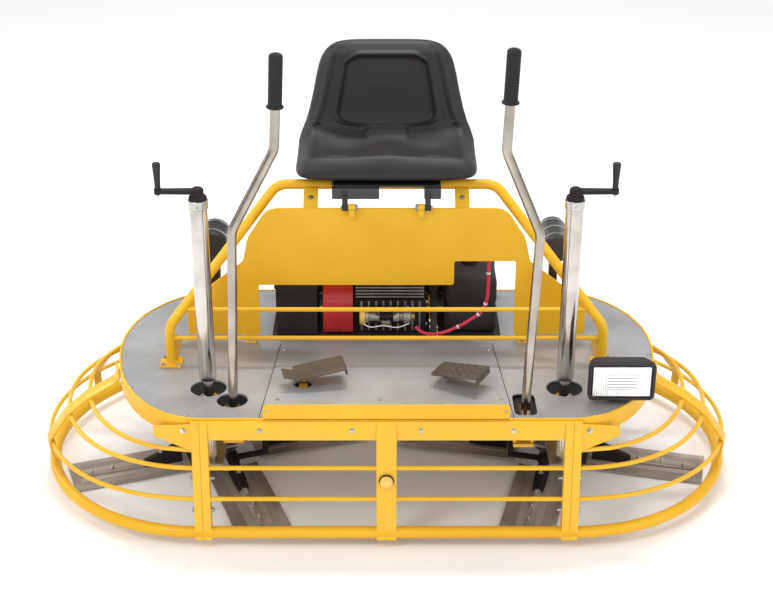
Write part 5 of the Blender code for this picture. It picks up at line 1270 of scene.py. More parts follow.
@dataclass
class LiftPost:
    """A polished post with a dark cast crank on top that sets the blades' pitch."""

    side: int
    x: float = 0.480
    y: float = -0.283
    reach: float = 0.100

    @property
    def label(self) -> str:
        """left or right."""
        return SIDES[self.side]

    def post(self) -> Piece:
        """The stem, the tube and the bright collar, bored for the crank."""
        piece = Piece(f"crank_post_{self.label}_tube", f"gearbox_{self.label}", CHROME)
        profile = [(0.0195, 0.915), (0.0195, 0.876), (0, 0.876), (0, 0.1515), (0.014, 0.1515), (0.014, 0.401),
                   (0.0222, 0.401), (0.0230, 0.4022), (0.0230, 0.8915)]
        piece.add(lathe(profile, (self.side * self.x, self.y, 0), (0, 0, 1), 48, closed=True))
        collar = [(0.0229, 0.8915), (0.0252, 0.8915), (0.0260, 0.8925), (0.0260, 0.9140), (0.0252, 0.9150),
                  (0.0196, 0.9150), (0.0196, 0.8915)]
        piece.add(lathe(collar, (self.side * self.x, self.y, 0), (0, 0, 1), 48, closed=True), ZINC)
        piece.add(screw((self.side * self.x, self.y - 0.0258, 0.903), (0, -1, 0), 0.0036), ZINC)
        return piece

    def crank(self) -> Piece:
        """A domed hub, a tapered arm and a boss."""
        piece = Piece(f"crank_{self.label}_arm", f"crank_{self.label}", DARK_CAST)
        centre = (self.side * self.x, self.y, 0)
        hub = [(0, 0.8755), (0.0180, 0.8755), (0.0180, 0.9155), (0.0222, 0.9155), (0.0230, 0.9165),
               (0.0230, 0.9225),
               (0.0215, 0.9245), (0.0172, 0.9265), (0.0160, 0.9300), (0.0158, 0.9420), (0.0135, 0.9450),
               (0.0100, 0.9475), (0.0060, 0.9490), (0, 0.9495)]
        piece.add(lathe(hub, centre, (0, 0, 1), 36))
        angle = np.radians(np.linspace(90, 270, 13))
        near = np.stack([0.0125 * np.cos(angle), 0.0125 * np.sin(angle)], 1)
        far = np.stack([self.reach - 0.0095 * np.cos(angle), -0.0095 * np.sin(angle)], 1)
        outline = np.vstack([near, far]) * (self.side, 1) + centre[:2]
        piece.add(prism(outline, 0.9318, 0.9418))
        end = (self.side * (self.x + self.reach), self.y, 0)
        piece.add(lathe([(0, 0.9295), (0.0088, 0.9295), (0.0100, 0.9308), (0.0100, 0.9430), (0.0090, 0.9443),
                         (0, 0.9443)], end, (0, 0, 1), 24))
        piece.add(stud((end[0], end[1], 0.9296), (0, 0, -1), 0.0048), ZINC)
        piece.add(lathe([(0, 0.9440), (0.0034, 0.9440), (0.0034, 0.9700), (0, 0.9700)], end, (0, 0, 1), 16),
                  ZINC)
        return piece

    def handle(self) -> Piece:
        """A tapered black handle, fuller towards its top."""
        piece = Piece(f"crank_{self.label}_handle", f"crank_handle_{self.label}", PLASTIC)
        end = (self.side * (self.x + self.reach), self.y, 0)
        profile = [(0.0038, 0.9447), (0.0068, 0.9447), (0.0076, 0.9456), (0.0074, 0.9510), (0.0078, 0.9650),
                   (0.0088, 0.9830), (0.0101, 0.9990), (0.0107, 1.0060), (0.0104, 1.0100), (0.0088, 1.0132),
                   (0.0050, 1.0145), (0, 1.0146), (0, 0.9705), (0.0038, 0.9705)]
        piece.add(lathe(profile, end, (0, 0, 1), 32, closed=True))
        return piece

    def build(self) -> None:
        """Build the post, crank and handle."""
        self.post().build((f"crank_post_{self.label}",))
        self.crank().build((f"crank_{self.label}",), bevel=0.0012)
        self.handle().build((f"crank_handle_{self.label}",))


# ---------------------------------------------------------------- seat
@dataclass
class Seat:
    """A one-piece moulded seat: an L-shaped middle surface with a padded skin above and below."""

    columns: int = 150
    rows: int = 210
    spine: tuple = ((0.006, 0.871), (0.060, 0.866), (0.130, 0.864), (0.200, 0.867), (0.258, 0.878),
                    (0.298, 0.906),
                    (0.316, 0.950), (0.326, 1.010), (0.333, 1.080), (0.340, 1.163))
    widths: tuple = ((0.80, 0.2530), (0.882, 0.2530), (0.905, 0.2450), (0.930, 0.2340), (0.965, 0.2230),
                     (1.020, 0.2100), (1.085, 0.1980), (1.170, 0.1860))

    def frame_lines(self) -> tuple[Array, Array]:
        """Middle-surface parameters: across and along, crowded towards the rim by sin(pi t / 2)."""
        t = np.linspace(-1, 1, self.columns)
        s = np.linspace(-1, 1, self.rows)
        return np.sin(0.5 * math.pi * t), np.sin(0.5 * math.pi * s)

    def skin(self) -> Surface:
        """Both skins.

        A point is the middle surface plus its normal times thickness times the rim's roundness, where
        roundness is (1 - distance measure ^ 5) ^ (1 / 2.2) and falls to nothing at the rim.
        """
        a, b = self.frame_lines()
        a, b = np.meshgrid(a, b)
        across = a * np.sqrt(1 - np.where(b > 0, 0.34, 0.16) * b ** 10)
        along = b * np.sqrt(1 - np.where(b > 0, 0.085, 0.05) * a ** 6)
        spine = curve(self.spine, 400)
        share = (along + 1) / 2
        index = np.linspace(0, 1, 400)
        y, z = np.interp(share, index, spine[:, 0]), np.interp(share, index, spine[:, 1])
        slope = unit(np.gradient(spine, axis=0))
        normal_y, normal_z = np.interp(share, index, -slope[:, 1]), np.interp(share, index, slope[:, 0])
        heights, halves = zip(*self.widths)
        half_width = np.interp(z, heights, halves)
        x = across * half_width
        length = np.sum(np.linalg.norm(np.diff(spine, axis=0), axis=1))
        side_edge = (1 - np.abs(a)) * half_width
        edge = np.minimum(side_edge, np.minimum((1 - b), (1 + b)) * length / 2)
        roundness = (1 - np.abs(a) ** 7) * (1 - np.abs(b) ** 14)
        roundness = np.clip(roundness, 0, 1) ** (1 / 2.3)
        back = ease(z, 0.880, 0.960)
        upper = (0.037 - 0.004 * back) + self.relief(x, y, z, side_edge, edge, back)
        lower = 0.0215 + 0.0135 * back
        up = np.stack([x, y + normal_y * upper * roundness, z + normal_z * upper * roundness], -1)
        down = np.stack([x, y - normal_y * lower * roundness, z - normal_z * lower * roundness], -1)
        top, bottom = grid(up, wrap=False, caps=False), grid(down[:, ::-1], wrap=False, caps=False)
        faces = top.faces + (np.array(bottom.faces) + len(top.points)).tolist()
        points = np.vstack([top.points, bottom.points])
        return Surface(points, faces, points.copy())

    @staticmethod
    def relief(x: Array, y: Array, z: Array, side_edge: Array, edge: Array, back: Array) -> Array:
        """How far the upper skin stands out: rolls, ridge, sunk panel, hump, thigh swells and folds.

        Args:
            x: across.
            y: front to back.
            z: up.
            side_edge: distance to the sides.
            edge: distance to the rim.
            back: 0 on the cushion, 1 on the back.

        Returns:
            The height of the skin at each point.
        """

        def hill(value: Array, centre: float, width: float) -> Array:
            """A bell curve about a centre."""
            return np.exp(-((value - centre) / width) ** 2)

        cushion = 1 - back
        out = 0.011 * hill(edge, 0.034, 0.020) * (0.75 + 0.25 * back)
        out += back * (0.0035 * hill(side_edge, 0.030, 0.006) - 0.0045 * hill(side_edge, 0.047, 0.008))
        half = np.interp(z, (0.900, 0.935, 1.100, 1.125), (0.128, 0.143, 0.114, 0.100))
        floor_line = 0.930 - 0.024 * (1 - (x / 0.14) ** 2)
        flat, tall = half - np.abs(x), np.minimum(z - floor_line, 1.122 - z)
        corner = 0.030 - np.hypot(np.minimum(flat - 0.030, 0), np.minimum(tall - 0.030, 0))
        inside = np.where((flat < 0.030) & (tall < 0.030), corner, np.minimum(flat, tall))
        out += 0.0085 * hill(inside, -0.009, 0.0055) - 0.0135 * ease(inside, -0.004, 0.009)
        out += 0.006 * hill(x, 0, 0.09) * hill(z, 1.060, 0.040) * ease(inside, 0.0, 0.02)
        wide = 0.052 + 0.35 * np.clip(0.905 - z, -0.02, 0.03)
        out += ease(wide - np.abs(x), -0.010, 0.014) * 0.014 * hill(z, 0.885, 0.022) * ease(y, 0.20, 0.27)
        out += cushion * 0.009 * hill(y, 0.030, 0.040) * (0.35 + 0.65 * hill(x, 0, 0.080))
        out -= cushion * 0.014 * hill(y, 0.165, 0.070) * hill(np.abs(x), 0.120, 0.070)
        out += cushion * 0.005 * hill(y, 0.150, 0.080) * hill(x, 0, 0.030)
        out += cushion * 0.0055 * hill(np.abs(x), 0.128, 0.036) * hill(y, 0.088, 0.009)
        fold = ease(np.abs(x), 0.184, 0.194) * ease(-np.abs(x), -0.226, -0.214)
        for level in (0.902, 0.914, 0.926):
            lean = level + 0.10 * (np.abs(x) - 0.21)
            out += fold * (0.0030 * hill(z, lean, 0.0030) - 0.0034 * hill(z, lean + 0.0058, 0.0030))
        return out

    def pad(self) -> bpy.types.Object:
        """The padded seat itself."""
        piece = Piece("seat_shell", "seat", VINYL)
        piece.SHARP = math.radians(85)
        piece.add(self.skin())
        pad = piece.build(("seat",))
        return pad

    def base(self) -> Piece:
        """The pan under the seat, its ribs, hinge arms and knuckles."""
        piece = Piece("seat_base", "seat", BLACK)
        outline = plate(0.300, 0.318, 0.020)
        piece.add(prism(outline + (0, 0.170), 0.8368, 0.8416))
        for low, high in ((-0.150, -0.020), (0.104, 0.150)):
            piece.add(prism([(0.0, 0.8372), (0.0, 0.806), (0.006, 0.806), (0.150, 0.826), (0.150, 0.8372)],
                            low, high,
                            "X"))
        for side in SIDES:
            low, high = sorted((side * 0.1052, side * 0.1228))
            ring = [(0.0042, 0), (0.0092, 0), (0.0100, 0.0008), (0.0100, 0.0168), (0.0092, 0.0176),
                    (0.0042, 0.0176)]
            piece.add(lathe(ring, (low, -0.010, 0.786), (1, 0, 0), 28, closed=True))
            arm = [(-0.0155, 0.7925), (-0.0060, 0.7950), (0.0, 0.8080), (0.016, 0.8370), (0.002, 0.8370),
                   (-0.006, 0.8180)]
            piece.add(prism(arm, low + 0.001, high - 0.001, "X"))
            rail = [(0.018, 0.8369), (0.018, 0.8290), (0.320, 0.8290), (0.320, 0.8369)]
            piece.add(prism(rail, low - 0.004, low, "X"))
        return piece

    def bolts(self) -> Piece:
        """Bolts that hold the pan and hinge arms."""
        piece = Piece("seat_bolts", "seat", ZINC)
        for side in SIDES:
            piece.add(hex_bolt((side * 0.114, -0.0035, 0.812), (0, -0.93, 0.36), 0.0042))
            for y in (0.06, 0.28):
                piece.add(hex_bolt((side * 0.06, y, 0.8368), (0, 0, -1), 0.0060))
        return piece

    def build(self) -> None:
        """Build the seat, its base and its bolts."""
        self.pad()
        self.base().build(("seat_frame",), bevel=0.0010)
        self.bolts().build()


# ---------------------------------------------------------------- rotors
@dataclass
class Rotor:
    """Four blades on arms round one hub."""

    side: int
    first: float
    centre_x: float = 0.485
    arm_z: float = 0.045
    start: float = 0.0926
    end: float = 0.4486
    half: float = 0.076

    @property
    def label(self) -> str:
        """left or right."""
        return SIDES[self.side]

    def place(self, surfaces: Iterable[Surface], index: int) -> list[Surface]:
        """Surfaces drawn along X carried to one arm's place."""
        turn = self.first + 90 * (index - 1)
        return [s.turned(turn).moved((self.side * self.centre_x, 0, 0)) for s in surfaces]

    def blade(self, index: int) -> Piece:
        """A pressed blade: flat on the floor, its long edges and outer end slightly raised."""
        piece = Piece(f"blade_{self.label}_{index}_plate", f"blade_arm_{self.label}_{index}", BLADE)
        across = np.concatenate([np.linspace(-self.half, self.half, 41),
                                 np.linspace(self.half, -self.half, 41)])
        lift = 0.0045 * ease(np.abs(across), 0.058, 0.080)
        height = np.concatenate([np.full(41, 0.0001), np.full(41, 0.0033)]) + lift
        section = np.stack([-across, height], 1)
        path = np.stack([np.linspace(self.start, self.end, 30), np.zeros(30), np.zeros(30)], 1)
        plates = [sweep(path, section)]
        rib = [(-0.072, 0.0030), (0.072, 0.0030), (0.070, 0.0065), (0.066, 0.0075), (-0.066, 0.0075),
               (-0.070, 0.0065)]
        plates.append(prism(rib, 0.4245, 0.4285, "X"))
        plates.append(block((0.1200, -0.034, 0.0031), (0.4240, 0.034, 0.0052)))
        return piece.add(self.place(plates, index))

    def arm(self, index: int) -> Piece:
        """A cast arm: shaft, clamp, ribbed bar with bolts, and the pitch finger."""
        piece = Piece(f"arm_{self.label}_{index}_casting", f"blade_arm_{self.label}_{index}", DARK_CAST)
        stations = [(0.128, 0.0180, 0.0620), (0.150, 0.0180, 0.0560), (0.200, 0.0175, 0.0345),
                    (0.232, 0.0150, 0.0240),
                    (0.240, 0.0130, 0.0200)]
        inner = self.bar(stations)
        outer = self.bar([(0.2380, 0.0120, 0.0185), (0.3000, 0.0112, 0.0165), (0.4150, 0.0100, 0.0130),
                          (0.4220, 0.0080, 0.0110)])
        shapes = [inner]
        shaft = [(0, 0.0625), (0.0098, 0.0625), (0.0109, 0.0640), (0.0109, 0.1280), (0, 0.1280)]
        shapes.append(lathe(shaft, (0, 0, self.arm_z), (1, 0, 0), 24))
        ring = [(0.0105, 0.1170), (0.0170, 0.1170), (0.0180, 0.1180), (0.0180, 0.1290), (0.0105, 0.1290)]
        shapes.append(lathe(ring, (0, 0, self.arm_z), (1, 0, 0), 28, closed=True))
        trail = -self.side
        low, high = sorted((trail * 0.004, trail * 0.105))
        shapes.append(block((0.1060, low, self.arm_z - 0.0065), (0.1190, high, self.arm_z + 0.0065)))
        tip = sorted((trail * 0.092, trail * 0.107))
        shapes.append(block((0.1052, tip[0], self.arm_z - 0.006), (0.1198, tip[1], self.arm_z + 0.0395)))
        piece.add(self.place(shapes, index))
        piece.add(self.place([outer], index), BLADE)
        fixings = []
        for x, z in ((0.186, 0.0400), (0.262, 0.0172), (0.330, 0.0152), (0.392, 0.0132)):
            fixings += stud((x, 0, z), (0, 0, 1), 0.0062)
        return piece.add(self.place(fixings, index), ZINC)

    @staticmethod
    def bar(stations: Sequence[Point]) -> Surface:
        """A ribbed bar through stations of (x, half width, top), wide at its foot and narrow on top."""
        loops = []
        for x, half, top in stations:
            low = 0.0058
            side = 0.45 * (top - low) + low
            loops.append([(x, -half, low), (x, half, low), (x, half, side), (x, 0.62 * half, side + 0.002),
                          (x, 0.52 * half, top), (x, -0.52 * half, top), (x, -0.62 * half, side + 0.002),
                          (x, -half, side)])
        return loft([np.array(loop) for loop in loops])

    def build(self) -> None:
        """Build blades and arms, and finish the hub, collar and gearbox."""
        for index in range(1, 5):
            self.blade(index).build((f"blade_{self.label}_{index}",), bevel=0.0006)
            self.arm(index).build((f"arm_{self.label}_{index}",), bevel=0.0012)
        dress(DARK_CAST, f"spider_{self.label}")
        dress(ZINC, f"pitch_collar_{self.label}")
        dress(ALLOY, f"gearbox_{self.label}")
        cover = Piece(f"gearbox_{self.label}_bolts", f"gearbox_{self.label}", ZINC)
        x = self.side * self.centre_x
        for dx, dy in ((-0.046, -0.086), (0.046, -0.086), (0.046, 0.086), (-0.046, 0.086), (0.046, 0),
                       (-0.046, 0)):
            cover.add(hex_bolt((x + dx, dy, 0.262), (0, 0, 1), 0.0058))
        cover.add(hex_bolt((x, 0.0, 0.2622), (0, 0, 1), 0.0090))
        cover.build()


# ---------------------------------------------------------------- lamp and pedals
@dataclass
class Headlight:
    """A boxy work lamp with a fluted lens of silvered glass."""

    x: float = 0.6165
    half: float = 0.0875
    low: float = 0.388
    high: float = 0.496
    face: float = -0.385
    back: float = -0.305

    def loop(self, y: float, grow: float, corner: float = 0.014) -> Array:
        """A rounded rectangle of the housing at a depth."""
        shape = plate(2 * (self.half + grow), self.high - self.low + 2 * grow, corner, 7)
        return np.column_stack([shape[:, 0] + self.x, np.full(len(shape), y),
                                shape[:, 1] + (self.low + self.high) / 2])

    def housing(self) -> Piece:
        """A drawn shell, narrower to the rear, with a rolled bezel and a sunk mouth."""
        piece = Piece("headlight_shell", "headlight", PLASTIC)
        rings = [(self.back, -0.030, 0.012), (self.back + 0.004, -0.022, 0.014), (-0.325, -0.010, 0.016),
                 (-0.350, -0.004, 0.015), (-0.366, -0.0015, 0.014), (-0.3675, 0.0, 0.014),
                 (-0.3830, 0.0, 0.014),
                 (self.face, -0.0020, 0.012), (self.face, -0.0068, 0.010), (-0.3790, -0.0092, 0.008),
                 (-0.3540, -0.0100, 0.008), (-0.3440, -0.030, 0.008)]
        piece.add(loft([self.loop(y, grow, corner) for y, grow, corner in rings]))
        boss = [(0, -0.013), (0.008, -0.013), (0.008, 0.013), (0, 0.013)]
        piece.add(lathe(boss, (self.x, -0.3450, 0.396), (1, 0, 0), 24))
        return piece

    def lens(self) -> Piece:
        """The front glass.

        The face is a plate whose depth ripples with the fifth power of a cosine along X in its outer
        field, and is stepped round a plain inner rectangle.
        """
        piece = Piece("headlight_glass", "headlight", LENS)
        u, v = np.meshgrid(np.linspace(-1, 1, 241), np.linspace(-1, 1, 81))
        x, z = u * 0.0772, 0.4420 + v * 0.0440
        outer = np.maximum(np.abs(u) / 0.52, np.abs(v) / 0.46)
        field = ease(outer, 0.98, 1.06)
        flute = 0.5 + 0.5 * np.cos(2 * math.pi * x / 0.0058)
        inner = 0.5 + 0.5 * np.cos(2 * math.pi * z / 0.0085)
        edge = ease(np.maximum(np.abs(u), np.abs(v)), 0.93, 1.0)
        depth = -0.3835 - 0.0014 * flute * field - 0.0009 * inner * (1 - field) + 0.0030 * edge
        depth -= 0.0010 * np.exp(-((outer - 1.02) / 0.035) ** 2)
        front = np.stack([x, depth, z], -1)
        rear = np.stack([x, np.full_like(x, -0.3785), z], -1)
        wall = np.concatenate([front[0], front[1:, -1], front[-1, -2::-1], front[-2:0:-1, 0]])
        back = np.concatenate([rear[0], rear[1:, -1], rear[-1, -2::-1], rear[-2:0:-1, 0]])
        parts = grid(front, wrap=False, caps=False)
        rim = grid(np.stack([wall, back]), caps=False)
        count = len(parts.points)
        faces = parts.faces + (np.array(rim.faces) + count).tolist()
        faces.append([count + len(wall) + i for i in range(len(back))])
        points = np.vstack([parts.points, rim.points]) + (self.x, 0, 0)
        piece.add(Surface(points, faces))
        return piece

    def build(self) -> None:
        """Build the shell and the glass, and finish the bracket."""
        self.housing().build(("lamp_housing",))
        self.lens().build(("lamp_lens",))
        dress(BLACK, "lamp_bracket")
        bolts = Piece("headlight_bolts", "chassis", ZINC)
        bolts.add(hex_bolt((0.600, -0.3225, 0.3743), (0, 0, 1), 0.0045))
        bolts.build()


@dataclass
class Pedal:
    """A sloped tread on two ears."""

    side: int
    x: float
    y: float
    heading: float
    slope: float = 8.0
    pivot_z: float = PEDAL_PIVOT_Z

    def set_down(self, shape: Surface) -> Surface:
        """A shape sloped, turned to the pedal's heading and moved to its pivot."""
        sloped = shape.turned(-self.slope, "Y").turned(self.heading, "Z")
        return sloped.moved((self.x, self.y, self.pivot_z))

    def build(self) -> None:
        """Build the tread with its turned edge, grip holes or bent lip, ears and pin nuts."""
        label = SIDES[self.side]
        piece = Piece(f"pedal_{label}_tread", f"pedal_{label}", TREAD)
        tread = plate(0.140, 0.084, 0.008, 5) + (0.048, 0)
        shapes = [prism(tread, 0.0122, 0.0165)]
        edge = eased([(0.1125, 0.0165), (0.1125, -0.0035), (0.1178, -0.0035), (0.1178, 0.0165)], 0.002, 3)
        shapes.append(prism(edge, -0.040, 0.040, "Y"))
        shapes += [block((-0.0078, min(f * 0.0067, f * 0.0124), -0.0068),
                         (0.0078, max(f * 0.0067, f * 0.0124), 0.0135)) for f in SIDES]
        if self.side < 0:
            lip = [(-0.0195, 0.0128), (-0.0195, 0.0166), (-0.0520, 0.0285), (-0.0538, 0.0250)]
            shapes.append(prism(lip, -0.0330, 0.0205, "Y"))
        else:
            for row in range(3):
                for column in range(5):
                    centre = (0.004 + 0.0225 * column, -0.026 + 0.026 * row, 0.0163)
                    collar = [(0.0030, 0), (0.0068, 0), (0.0056, 0.0022), (0.0042, 0.0024), (0.0032, 0.0012)]
                    shapes.append(lathe(collar, centre, (0, 0, 1), 20, closed=True))
        nuts = [lathe([(0, 0), (0.0055, 0), (0.0050, 0.0032), (0, 0.0036)], (0, f * 0.0126, 0), (0, f, 0), 6)
                for f in SIDES]
        piece.add([self.set_down(shape) for shape in shapes])
        piece.add([self.set_down(nut) for nut in nuts], ZINC)
        piece.build((f"pedal_{label}",), bevel=0.0008)


# ---------------------------------------------------------------- engine
@dataclass
class Engine:
    """The engine and everything beside it in the bay."""

    fan_x: float = -0.0953
    fan_y: float = 0.190
    fan_z: float = 0.480
    cable: tuple = ((0.083, 0.0205, 0.405), (0.105, 0.0125, 0.391), (0.135, 0.0125, 0.386),
                    (0.170, 0.0125, 0.394),
                    (0.205, 0.0125, 0.410), (0.240, 0.0125, 0.432), (0.268, 0.0125, 0.455),
                    (0.284, 0.0125, 0.490),
                    (0.288, 0.0125, 0.530), (0.288, 0.0125, 0.575), (0.288, 0.0125, 0.635))

    def case(self) -> Piece:
        """Crankcase, ribbed cylinder head, cover and belt pulley."""
        piece = Piece("engine_case", "chassis", ALLOY)
        piece.add(block((-0.094, 0.067, 0.3662), (0.114, 0.299, 0.470)), DARK_CAST)
        for z in np.linspace(0.474, 0.592, 13):
            piece.add(block((-0.090, 0.072, z), (0.108, 0.294, z + 0.0042)))
        piece.add(block((-0.080, 0.080, 0.470), (0.098, 0.286, 0.599)), DARK_CAST)
        for x in np.linspace(-0.075, 0.093, 9):
            piece.add(block((x, 0.0655, 0.372), (x + 0.006, 0.070, 0.466)))
        pulley = [(0, 0), (0.046, 0), (0.050, 0.003), (0.040, 0.012), (0.040, 0.020), (0.050, 0.029),
                  (0.046, 0.032),
                  (0, 0.032)]
        piece.add(lathe(pulley, (0.122, 0.190, 0.480), (1, 0, 0), 40), ZINC)
        piece.add([s for y, z in ((0.085, 0.385), (0.085, 0.455), (0.28, 0.385), (0.28, 0.455))
                   for s in hex_bolt((0.114, y, z), (1, 0, 0), 0.0055)], ZINC)
        return piece

    def fan(self) -> Piece:
        """A red fan shroud with a louvred face and a recoil cup."""
        piece = Piece("fan_shroud", "chassis", RED)
        shroud = [(0, 0), (0.0995, 0), (0.0998, 0.050), (0.0960, 0.062), (0.0880, 0.070), (0.0700, 0.074),
                  (0.0660, 0.070), (0.0400, 0.070), (0.0380, 0.080), (0.0340, 0.086), (0.0200, 0.088),
                  (0, 0.088)]
        piece.add(lathe(shroud, (self.fan_x, self.fan_y, self.fan_z), (-1, 0, 0), 64))
        cowl = eased([(0.046, 0.3668), (0.041, 0.430), (0.052, 0.490), (0.100, 0.545), (0.180, 0.545),
                      (0.180, 0.3668)], 0.025, 6)
        piece.add(prism(cowl, -0.1830, -0.0965, "X"))
        angle = np.radians(np.arange(0, 360, 20))
        louvre = block((-0.012, -0.0022, -0.002), (0.012, 0.0022, 0.002))
        for turn in angle:
            slat = louvre.placed(np.array(Matrix.Rotation(math.pi / 2, 3, "Z")))
            slat = slat.moved((0, 0, 0)).turned(90, "Y").turned(math.degrees(turn), "X")
            offset = (self.fan_x - 0.0715, self.fan_y - 0.053 * math.sin(turn),
                      self.fan_z + 0.053 * math.cos(turn))
            piece.add(slat.moved(offset), BLACK)
        return piece

    def carburettor(self) -> Piece:
        """A float bowl, a row of drums along X, nuts, and the wires and linkage round them."""
        piece = Piece("carburettor_body", "chassis", ALLOY)
        piece.add(block((-0.050, 0.0500, 0.4025), (0.070, 0.0645, 0.4500)), DARK_CAST)
        drums = ((-0.0770, 0.0235, 0.0160, CREAM), (-0.0605, 0.0215, 0.0100, ZINC),
                 (-0.0500, 0.0165, 0.0300, ZINC),
                 (-0.0195, 0.0125, 0.0380, DARK_CAST), (0.0190, 0.0185, 0.0180, ZINC),
                 (0.0375, 0.0150, 0.0110, ALLOY),
                 (0.0490, 0.0200, 0.0200, ZINC), (0.0695, 0.0120, 0.0120, BRASS))
        for x, radius, length, finish in drums:
            lip = min(0.0022, 0.2 * length)
            rings = [(0, 0), (radius - 0.001, 0), (radius, 0.001), (radius, lip),
                     (radius - 0.0016, lip + 0.0008),
                     (radius - 0.0016, length - lip - 0.0008), (radius, length - lip),
                     (radius, length - 0.001),
                     (radius - 0.001, length), (0, length)]
            piece.add(lathe(rings, (x, 0.0425, 0.4285), (1, 0, 0), 36), finish)
        for turn in np.radians(np.arange(0, 360, 20)):
            tooth = block((0.0525, -0.0011, 0.0180), (0.0655, 0.0011, 0.0198)).turned(math.degrees(turn), "X")
            piece.add(tooth.moved((0, 0.0425, 0.4285)), ALLOY)
        bowl = [(0, 0), (0.0130, 0), (0.0165, 0.004), (0.0175, 0.012), (0.0175, 0.020), (0, 0.020)]
        piece.add(lathe(bowl, (-0.002, 0.0420, 0.4022), (0, 0, 1), 32), ZINC)
        piece.add(hex_bolt((-0.002, 0.0245, 0.4140), (0, -1, 0), 0.0036), BRASS)
        for x, z in ((-0.038, 0.4500), (0.028, 0.4520), (0.060, 0.4540)):
            piece.add(hex_bolt((x, 0.0480, z), (0, 0, 1), 0.0042), ZINC)
        wires = (((-0.070, 0.030, 0.412), (-0.045, 0.022, 0.404), (-0.010, 0.021, 0.409),
                  (0.030, 0.022, 0.403),
                  (0.066, 0.030, 0.412)),
                 ((-0.058, 0.030, 0.448), (-0.030, 0.023, 0.460), (0.004, 0.022, 0.466),
                  (0.036, 0.025, 0.460),
                  (0.058, 0.032, 0.448)),
                 ((-0.030, 0.028, 0.446), (-0.010, 0.021, 0.436), (0.016, 0.022, 0.440),
                  (0.030, 0.030, 0.454)))
        for knots, radius, finish in zip(wires, (0.0018, 0.0016, 0.0022), (WHITE, ZINC, PLASTIC)):
            piece.add(tube(curve(knots, 40), radius, 10), finish)
        return piece

    def battery(self) -> Piece:
        """A ribbed battery case with a lid, caps and two posts."""
        piece = Piece("battery_case", "chassis", PLASTIC)
        piece.add(block((-0.318, 0.050, 0.3662), (-0.200, 0.210, 0.512)))
        piece.add(block((-0.3215, 0.0465, 0.5122), (-0.1965, 0.2135, 0.5260)))
        for x in np.linspace(-0.306, -0.212, 8):
            piece.add(block((x - 0.0022, 0.0470, 0.3800), (x + 0.0022, 0.0505, 0.5000)))
        for x in (-0.290, -0.259, -0.228):
            piece.add(lathe([(0, 0), (0.010, 0), (0.009, 0.003), (0, 0.003)], (x, 0.130, 0.5258), (0, 0, 1),
                            20))
        for x, finish in ((-0.300, ALLOY), (-0.216, RED)):
            piece.add(lathe([(0, 0), (0.0075, 0), (0.0068, 0.006), (0, 0.006)], (x, 0.075, 0.5258), (0, 0, 1),
                            20),
                      finish)
        return piece

    def tank(self) -> Piece:
        """A blow-moulded tank with a waist, strap and knurled cap."""
        piece = Piece("fuel_tank_shell", "chassis", PLASTIC)
        loops = []
        for z, inset in ((0.3662, 0.012), (0.371, 0.004), (0.380, 0), (0.440, 0), (0.446, 0.004),
                         (0.456, 0.004),
                         (0.462, 0), (0.520, 0), (0.532, 0.005), (0.5385, 0.016), (0.540, 0.030)):
            shape = plate(0.148 - 2 * inset, 0.240 - 2 * inset, 0.020 - 0.4 * inset, 6) + (0.244, 0.180)
            loops.append(np.column_stack([shape, np.full(len(shape), z)]))
        piece.add(loft(loops))
        cap = [(0, 0.5398), (0.026, 0.5398), (0.026, 0.5545), (0.0235, 0.5590), (0, 0.5590)]
        piece.add(lathe(cap, (0.244, 0.180, 0), (0, 0, 1), 36))
        piece.add(sweep(np.array([(0.1695, 0.200, 0.37), (0.1695, 0.200, 0.530)]),
                        plate(0.020, 0.0016, 0.0005, 3), (1, 0, 0)), ZINC)
        return piece

    def lead(self) -> Piece:
        """The red lead, clipped along its whole way, with pale ties."""
        piece = Piece("red_lead", "chassis", CABLE)
        path = curve(self.cable, 120)
        piece.add(tube(path, 0.0049, 16, (0, 1, 0)))
        for share in (0.34, 0.52, 0.62, 0.86):
            i = int(share * 119)
            along = path[i + 1] - path[i - 1]
            ring = [(0.0044, -0.0028), (0.0060, -0.0028), (0.0063, 0), (0.0060, 0.0028), (0.0044, 0.0028)]
            piece.add(lathe(ring, path[i], along, 20, closed=True), WHITE)
        return piece

    def air_and_exhaust(self) -> Piece:
        """Bands and an end cap for the air cleaner, and rings round the silencer."""
        piece = Piece("engine_trim", "chassis", ZINC)
        band = [(0.0500, -0.006), (0.0512, -0.006), (0.0518, 0), (0.0512, 0.006), (0.0500, 0.006)]
        for y in (0.115, 0.185):
            piece.add(lathe(band, (-0.500, y, 0.620), (0, 1, 0), 48, closed=True))
        cap = [(0, 0), (0.046, 0), (0.046, 0.003), (0.030, 0.006), (0.010, 0.008), (0, 0.008)]
        piece.add(lathe(cap, (-0.500, 0.0895, 0.620), (0, -1, 0), 40), PLASTIC)
        ring = [(0.0418, -0.004), (0.0430, -0.004), (0.0435, 0), (0.0430, 0.004), (0.0418, 0.004)]
        for y in (0.095, 0.150, 0.205):
            piece.add(lathe(ring, (0.485, y, 0.625), (0, 1, 0), 48, closed=True))
        return piece

    def build(self) -> None:
        """Build the engine bay."""
        self.case().build(("engine_block",), bevel=0.0012)
        self.fan().build(("fan_housing",), bevel=0.0020)
        self.carburettor().build(("carburettor",), bevel=0.0005)
        self.battery().build(("battery_box",), bevel=0.0016)
        self.tank().build(("fuel_tank",))
        self.lead().build(("battery_cable",))
        self.air_and_exhaust().build()
        dress(PLASTIC, "air_cleaner")
        dress(BLACK, "muffler")
        dress(BELT, "drive_belt")
        dress(ZINC, "drive_shaft", "lever_gimbal")


